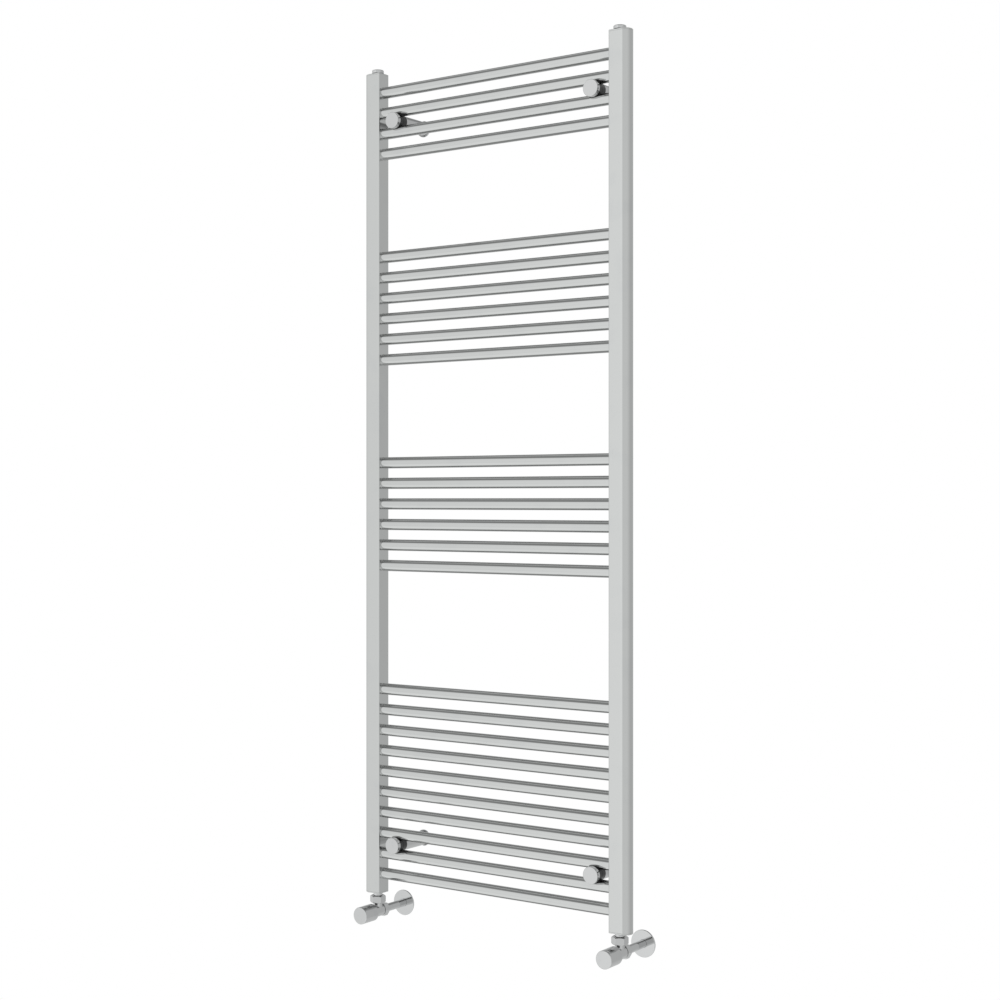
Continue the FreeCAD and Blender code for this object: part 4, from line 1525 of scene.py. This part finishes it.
    def build_unions(self) -> None:
        """Union nuts and the tails they pull up."""
        port_y = self.plan.port[1]
        low, high = region("union_nuts", 1)
        flats, length = high.x - low.x, high.z - low.z
        hole, thread = self.union_hole, self.union_thread
        inside = [
            (12.3 * MM, length), (12.0 * MM, length - 0.25 * MM), (11.6 * MM, length - 0.9 * MM),
            (hole + 0.3 * MM, length - 0.9 * MM), (hole, length - 1.2 * MM), (hole, length - 3 * MM),
            (thread, length - 3.2 * MM), (thread, 0.5 * MM), (thread + 0.5 * MM, 0.0)]
        self.pair("union_nut_pair", FITTING_CHROME, ("union_nuts",),
                  nut((0, port_y, low.z), Axis.UP, flats, length, math.pi / 2, inside))
        low, high = region("valve_tails", 1)
        flange, neck, shank, bore = (high.x - low.x) / 2, self.tail_neck, self.tail_shank, self.tail_bore
        seat, step = low.z + self.tail_seat, -self.plan.half_height
        outline = rounded([
            (bore, low.z, 0.3 * MM), (flange, low.z, 0.4 * MM), (flange, seat, 0.3 * MM), (neck, seat),
            (neck, step - 0.4 * MM, 0.3 * MM), (shank, step + 0.2 * MM, 0.3 * MM),
            (shank, high.z, 0.6 * MM), (bore, high.z, 0.3 * MM)], True, 4)
        self.pair("tail_pair", FITTING_CHROME, ("valve_tails",),
                  lathe((0, port_y, 0), Axis.UP, outline, True, SMALL_TURNS))

    def build_pipes(self) -> None:
        """Compression nuts and pipes."""
        plan = self.plan
        low, high = region("compression_nuts", 1)
        flats, length = high.z - low.z, high.y - low.y
        hole, thread = self.pipe_radius + self.pipe_nut_gap, self.pipe_nut_thread
        inside = [
            (thread + 0.5 * MM, length), (thread + 0.1 * MM, length - 0.15 * MM),
            (hole + 0.5 * MM, length - 0.3 * MM), (hole, length - 0.8 * MM), (hole, length - 2 * MM),
            (thread, length - 2.2 * MM), (thread, 0.4 * MM), (thread + 0.5 * MM, 0.0)]
        self.pair("pipe_nut_pair", FITTING_CHROME, ("compression_nuts",),
                  nut((0, low.y, plan.valve_z), Axis.BACK, flats, length, 0.0, inside,
                      self.pipe_nut_relief))
        low, high = region("pipes", 1)
        radius, bore = self.pipe_radius, self.pipe_radius - self.pipe_wall
        outline = rounded([(bore, low.y, 0.2 * MM), (radius, low.y, 0.3 * MM),
                           (radius, high.y, 0.3 * MM), (bore, high.y, 0.2 * MM)], True, 3)
        self.pair("pipe_pair", PIPE_CHROME, ("pipes",),
                  lathe((0, 0, plan.valve_z), Axis.BACK, outline, True, SMALL_TURNS))

    def build_plates(self) -> None:
        """The dished plates that cover the pipes' holes in the wall."""
        hole = self.pipe_radius + self.plate_gap
        for side, key in ((Side.RIGHT, "handwheel"), (Side.LEFT, "lockshield")):
            low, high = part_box(key + "_pipe_plate")
            radius, rise = (high.x - low.x) / 2, high.y - low.y
            inner, under = radius - self.plate_wall, rise - self.plate_wall
            outline = rounded([
                (inner, 0.0, 0.1 * MM), (radius, 0.0, 0.2 * MM), (radius, rise, 0.8 * MM),
                (hole, rise, 0.35 * MM), (hole, under, 0.2 * MM), (inner, under, 0.4 * MM)], True)
            place = (side.value * self.plan.port[0], high.y, self.plan.valve_z)
            name = key + "_wall_rosette"
            shown(name, mesh_of(name, lathe(place, Axis.FRONT, outline, True)), FITTING_CHROME,
                  key + "_wall_plate", key + "_pipe_plate")

    def build_handles(self) -> None:
        """The handwheel, and the cap that hides the lockshield's spindle."""
        for handle in HANDLES:
            low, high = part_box(handle.node)
            radius = (high.x - low.x) / 2
            inner, face = radius - self.handle_wall, low.y + self.handle_face
            deep, seat = low.y + handle.hub_end, low.y + handle.bore_end
            outline = rounded([
                (0, low.y), (radius, low.y, 1.3 * MM), (radius, high.y, 0.5 * MM),
                (inner, high.y, 0.5 * MM), (inner, face, 1.0 * MM), (handle.hub, face, 0.5 * MM),
                (handle.hub, deep, 0.4 * MM), (handle.bore, deep, 0.3 * MM), (handle.bore, seat),
                (0, seat)])
            place = (handle.side.value * self.plan.port[0], 0, self.plan.valve_z)
            shown(handle.name, mesh_of(handle.name, lathe(place, Axis.BACK, outline)),
                  FITTING_CHROME, handle.body, handle.node)

    def build(self) -> None:
        """Build both valves."""
        self.build_bodies()
        self.build_unions()
        self.build_pipes()
        self.build_plates()
        self.build_handles()


@dataclass
class KeptNodes:
    """CAD nodes that are shown as they are, each with its own finish."""

    finishes: dict[str, Finish] = field(default_factory=lambda: {
        "bleed_screw": BRASS, "bonnets": BRASS, "olives": BRASS,
        "handwheel_spindle": BRASS, "lockshield_spindle": BRASS,
        "handwheel_jumper": BRASS, "lockshield_jumper": BRASS,
        "handwheel_seat_washer": SEAL_RUBBER, "lockshield_seat_washer": SEAL_RUBBER,
        "spindle_seals": SEAL_RUBBER,
        "bracket_clamp_screws": SCREW_STEEL, "bracket_grub_screws": SCREW_STEEL})

    def build(self) -> None:
        """Dress the nodes."""
        for name, finish in self.finishes.items():
            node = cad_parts[name]
            node.data.materials.clear()
            node.data.materials.append(finish.material())
            log.info("%s: kept, %s", name, finish.name)


@dataclass
class Studio:
    """White floor and surroundings, soft light from all round, and the camera.

    The light's edges are angles in degrees, or shares of the way from the middle to the top, the
    bottom, a side or the back.
    """

    floor_z: float = -1.35
    floor_reach: float = 30.0
    camera_place: tuple[float, float, float] = (1.8471, -2.6872, -0.0328)
    camera_turn: float = math.radians(35.11)
    lens: float = 61.60
    sensor: float = 36.0
    front_left: float = 0.955
    front: float = 1.075
    beside: float = 0.83
    behind: float = 0.615
    gloom: float = 0.385
    ceiling: float = 0.315
    ceiling_back: float = 0.25
    strip: float = 0.63
    low_front: float = 1.075
    low_back: float = 0.69
    low_corner: float = 0.34
    front_edge: tuple[float, float] = (-42, -28)
    beside_edge: tuple[float, float] = (-10, 6)
    behind_edge: tuple[float, float] = (55, 125)
    behind_left_edge: tuple[float, float] = (-150, -60)
    strip_front_edge: tuple[float, float] = (85, 90)
    strip_back_edge: tuple[float, float] = (106, 112)
    ceiling_edge: tuple[float, float] = (112, 118)
    low_edge: tuple[float, float] = (-88, -80)
    corner_back_edge: tuple[float, float] = (-150, -146)
    corner_front_edge: tuple[float, float] = (-94, -90)
    rear_edge: tuple[float, float] = (0.0, 0.05)
    left_edge: tuple[float, float] = (-0.12, 0.02)
    gloom_edge: tuple[float, float] = (0.15, 0.45)
    ceiling_height: tuple[float, float] = (0.52, 0.66)
    floor_height: tuple[float, float] = (-0.55, -0.35)
    green: float = 1.016
    blue: float = 1.010

    def build_floor(self) -> None:
        """A plain pale floor that lights nothing."""
        size = self.floor_reach
        mesh = bpy.data.meshes.new("studio_floor")
        corners = [(-size, -size, self.floor_z), (size, -size, self.floor_z),
                   (size, size, self.floor_z), (-size, size, self.floor_z)]
        mesh.from_pydata(corners, [], [(0, 1, 2, 3)])
        floor = bpy.data.objects.new("studio_floor", mesh)
        bpy.context.scene.collection.objects.link(floor)
        made = bpy.data.materials.new("studio_white")
        made.use_nodes = True
        made.node_tree.nodes.clear()
        sheet = NodeSheet(made.node_tree)
        glow = sheet.node("ShaderNodeEmission", None, {"Color": (1.0, 1.0, 1.0, 1.0), "Strength": 1.0})
        out = made.node_tree.nodes.new("ShaderNodeOutputMaterial")
        made.node_tree.links.new(glow.socket, out.inputs["Surface"])
        mesh.materials.append(made)
        floor.visible_glossy = False
        floor.visible_diffuse = False
        floor.visible_shadow = False

    def past(self, angle: Value, edge: tuple[float, float]) -> Value:
        """Go from 0 to 1 as an angle crosses an edge.

        Args:
            angle: The angle, in radians.
            edge: Where the change starts and ends, in degrees.

        Returns:
            The share.
        """
        start, end = (math.radians(side) for side in edge)
        return angle.sheet.step(angle, start, end, 0.0, 1.0)

    def before(self, angle: Value, edge: tuple[float, float]) -> Value:
        """Go from 1 to 0 as an angle crosses an edge.

        Args:
            angle: The angle, in radians.
            edge: Where the change starts and ends, in degrees.

        Returns:
            The share.
        """
        start, end = (math.radians(side) for side in edge)
        return angle.sheet.step(angle, start, end, 1.0, 0.0)

    def tone(self, sheet: NodeSheet) -> Value:
        """Brightness of the light in each direction.

        Args:
            sheet: The world's tree.

        Returns:
            The brightness.
        """
        place = sheet.node("ShaderNodeTexCoord", output="Generated")
        x, y, z = (sheet.node("ShaderNodeSeparateXYZ", None, {0: place}, name) for name in "XYZ")
        beside = sheet.node("ShaderNodeMath", {"operation": "ARCTAN2"}, {0: x, 1: -y})
        over = sheet.node("ShaderNodeMath", {"operation": "ARCTAN2"}, {0: z, 1: -y})
        rear = sheet.step(y, *self.rear_edge, 0.0, 1.0)
        left = sheet.step(x, *self.left_edge, 1.0, 0.0)
        level = sheet.blend(self.past(beside, self.front_edge), self.front_left, self.front)
        level = sheet.blend(self.past(beside, self.beside_edge), level, self.beside)
        level = sheet.blend(self.past(beside, self.behind_edge), level, self.behind)
        level = sheet.blend(self.before(beside, self.behind_left_edge), level, self.behind)
        gloomy = rear * left * sheet.step(z, *self.gloom_edge, 0.0, 1.0)
        level = sheet.blend(gloomy, level, self.gloom)
        strip = self.past(over, self.strip_front_edge) * self.before(over, self.strip_back_edge)
        upper = sheet.blend(self.past(over, self.ceiling_edge) * left, self.ceiling, self.ceiling_back)
        upper = sheet.blend(strip, upper, self.strip)
        lower = sheet.blend(self.past(over, self.low_edge), self.low_back, self.low_front)
        lower = sheet.blend(rear, lower, self.low_back)
        corner = self.past(beside, self.corner_back_edge) * self.before(beside, self.corner_front_edge)
        lower = sheet.blend(corner, lower, self.low_corner)
        tone = sheet.blend(sheet.step(z, *self.ceiling_height, 0.0, 1.0), level, upper)
        return sheet.blend(sheet.step(z, *self.floor_height, 1.0, 0.0), tone, lower)

    def build_light(self) -> None:
        """Soft light in broad panels: bright in front, greyer beside and behind, dark overhead."""
        world = bpy.data.worlds.new("studio_light")
        bpy.context.scene.world = world
        world.use_nodes = True
        world.node_tree.nodes.clear()
        sheet = NodeSheet(world.node_tree)
        tone = self.tone(sheet)
        colour = sheet.node("ShaderNodeCombineColor", None,
                            {0: tone, 1: tone * self.green, 2: tone * self.blue})
        seen = sheet.node("ShaderNodeLightPath", output="Is Camera Ray")
        colour = sheet.tint(seen, colour, (1.0, 1.0, 1.0))
        glow = sheet.node("ShaderNodeBackground", None, {"Color": colour, "Strength": 1.0})
        out = world.node_tree.nodes.new("ShaderNodeOutputWorld")
        world.node_tree.links.new(glow.socket, out.inputs["Surface"])
        bpy.context.scene.view_settings.view_transform = "Standard"

    def build_camera(self) -> None:
        """The camera, level and turned from the front towards the right upright."""
        data = bpy.data.cameras.new("studio_camera")
        data.lens = self.lens
        data.sensor_width = self.sensor
        camera = bpy.data.objects.new("studio_camera", data)
        camera.location = self.camera_place
        camera.rotation_euler = (math.pi / 2, 0.0, self.camera_turn)
        bpy.context.scene.collection.objects.link(camera)
        bpy.context.scene.camera = camera

    def build(self) -> None:
        """Build the studio."""
        self.build_floor()
        self.build_light()
        self.build_camera()


def main() -> None:
    """Build every sub-assembly in order."""
    logging.basicConfig(level=logging.INFO, format="%(message)s")
    plan = Plan.read()
    for assembly in (Rail(plan), TopPlugs(plan), Brackets(plan), Valves(plan), KeptNodes(), Studio()):
        log.info("building %s", type(assembly).__name__)
        assembly.build()


if __name__ == "__main__":
    main()
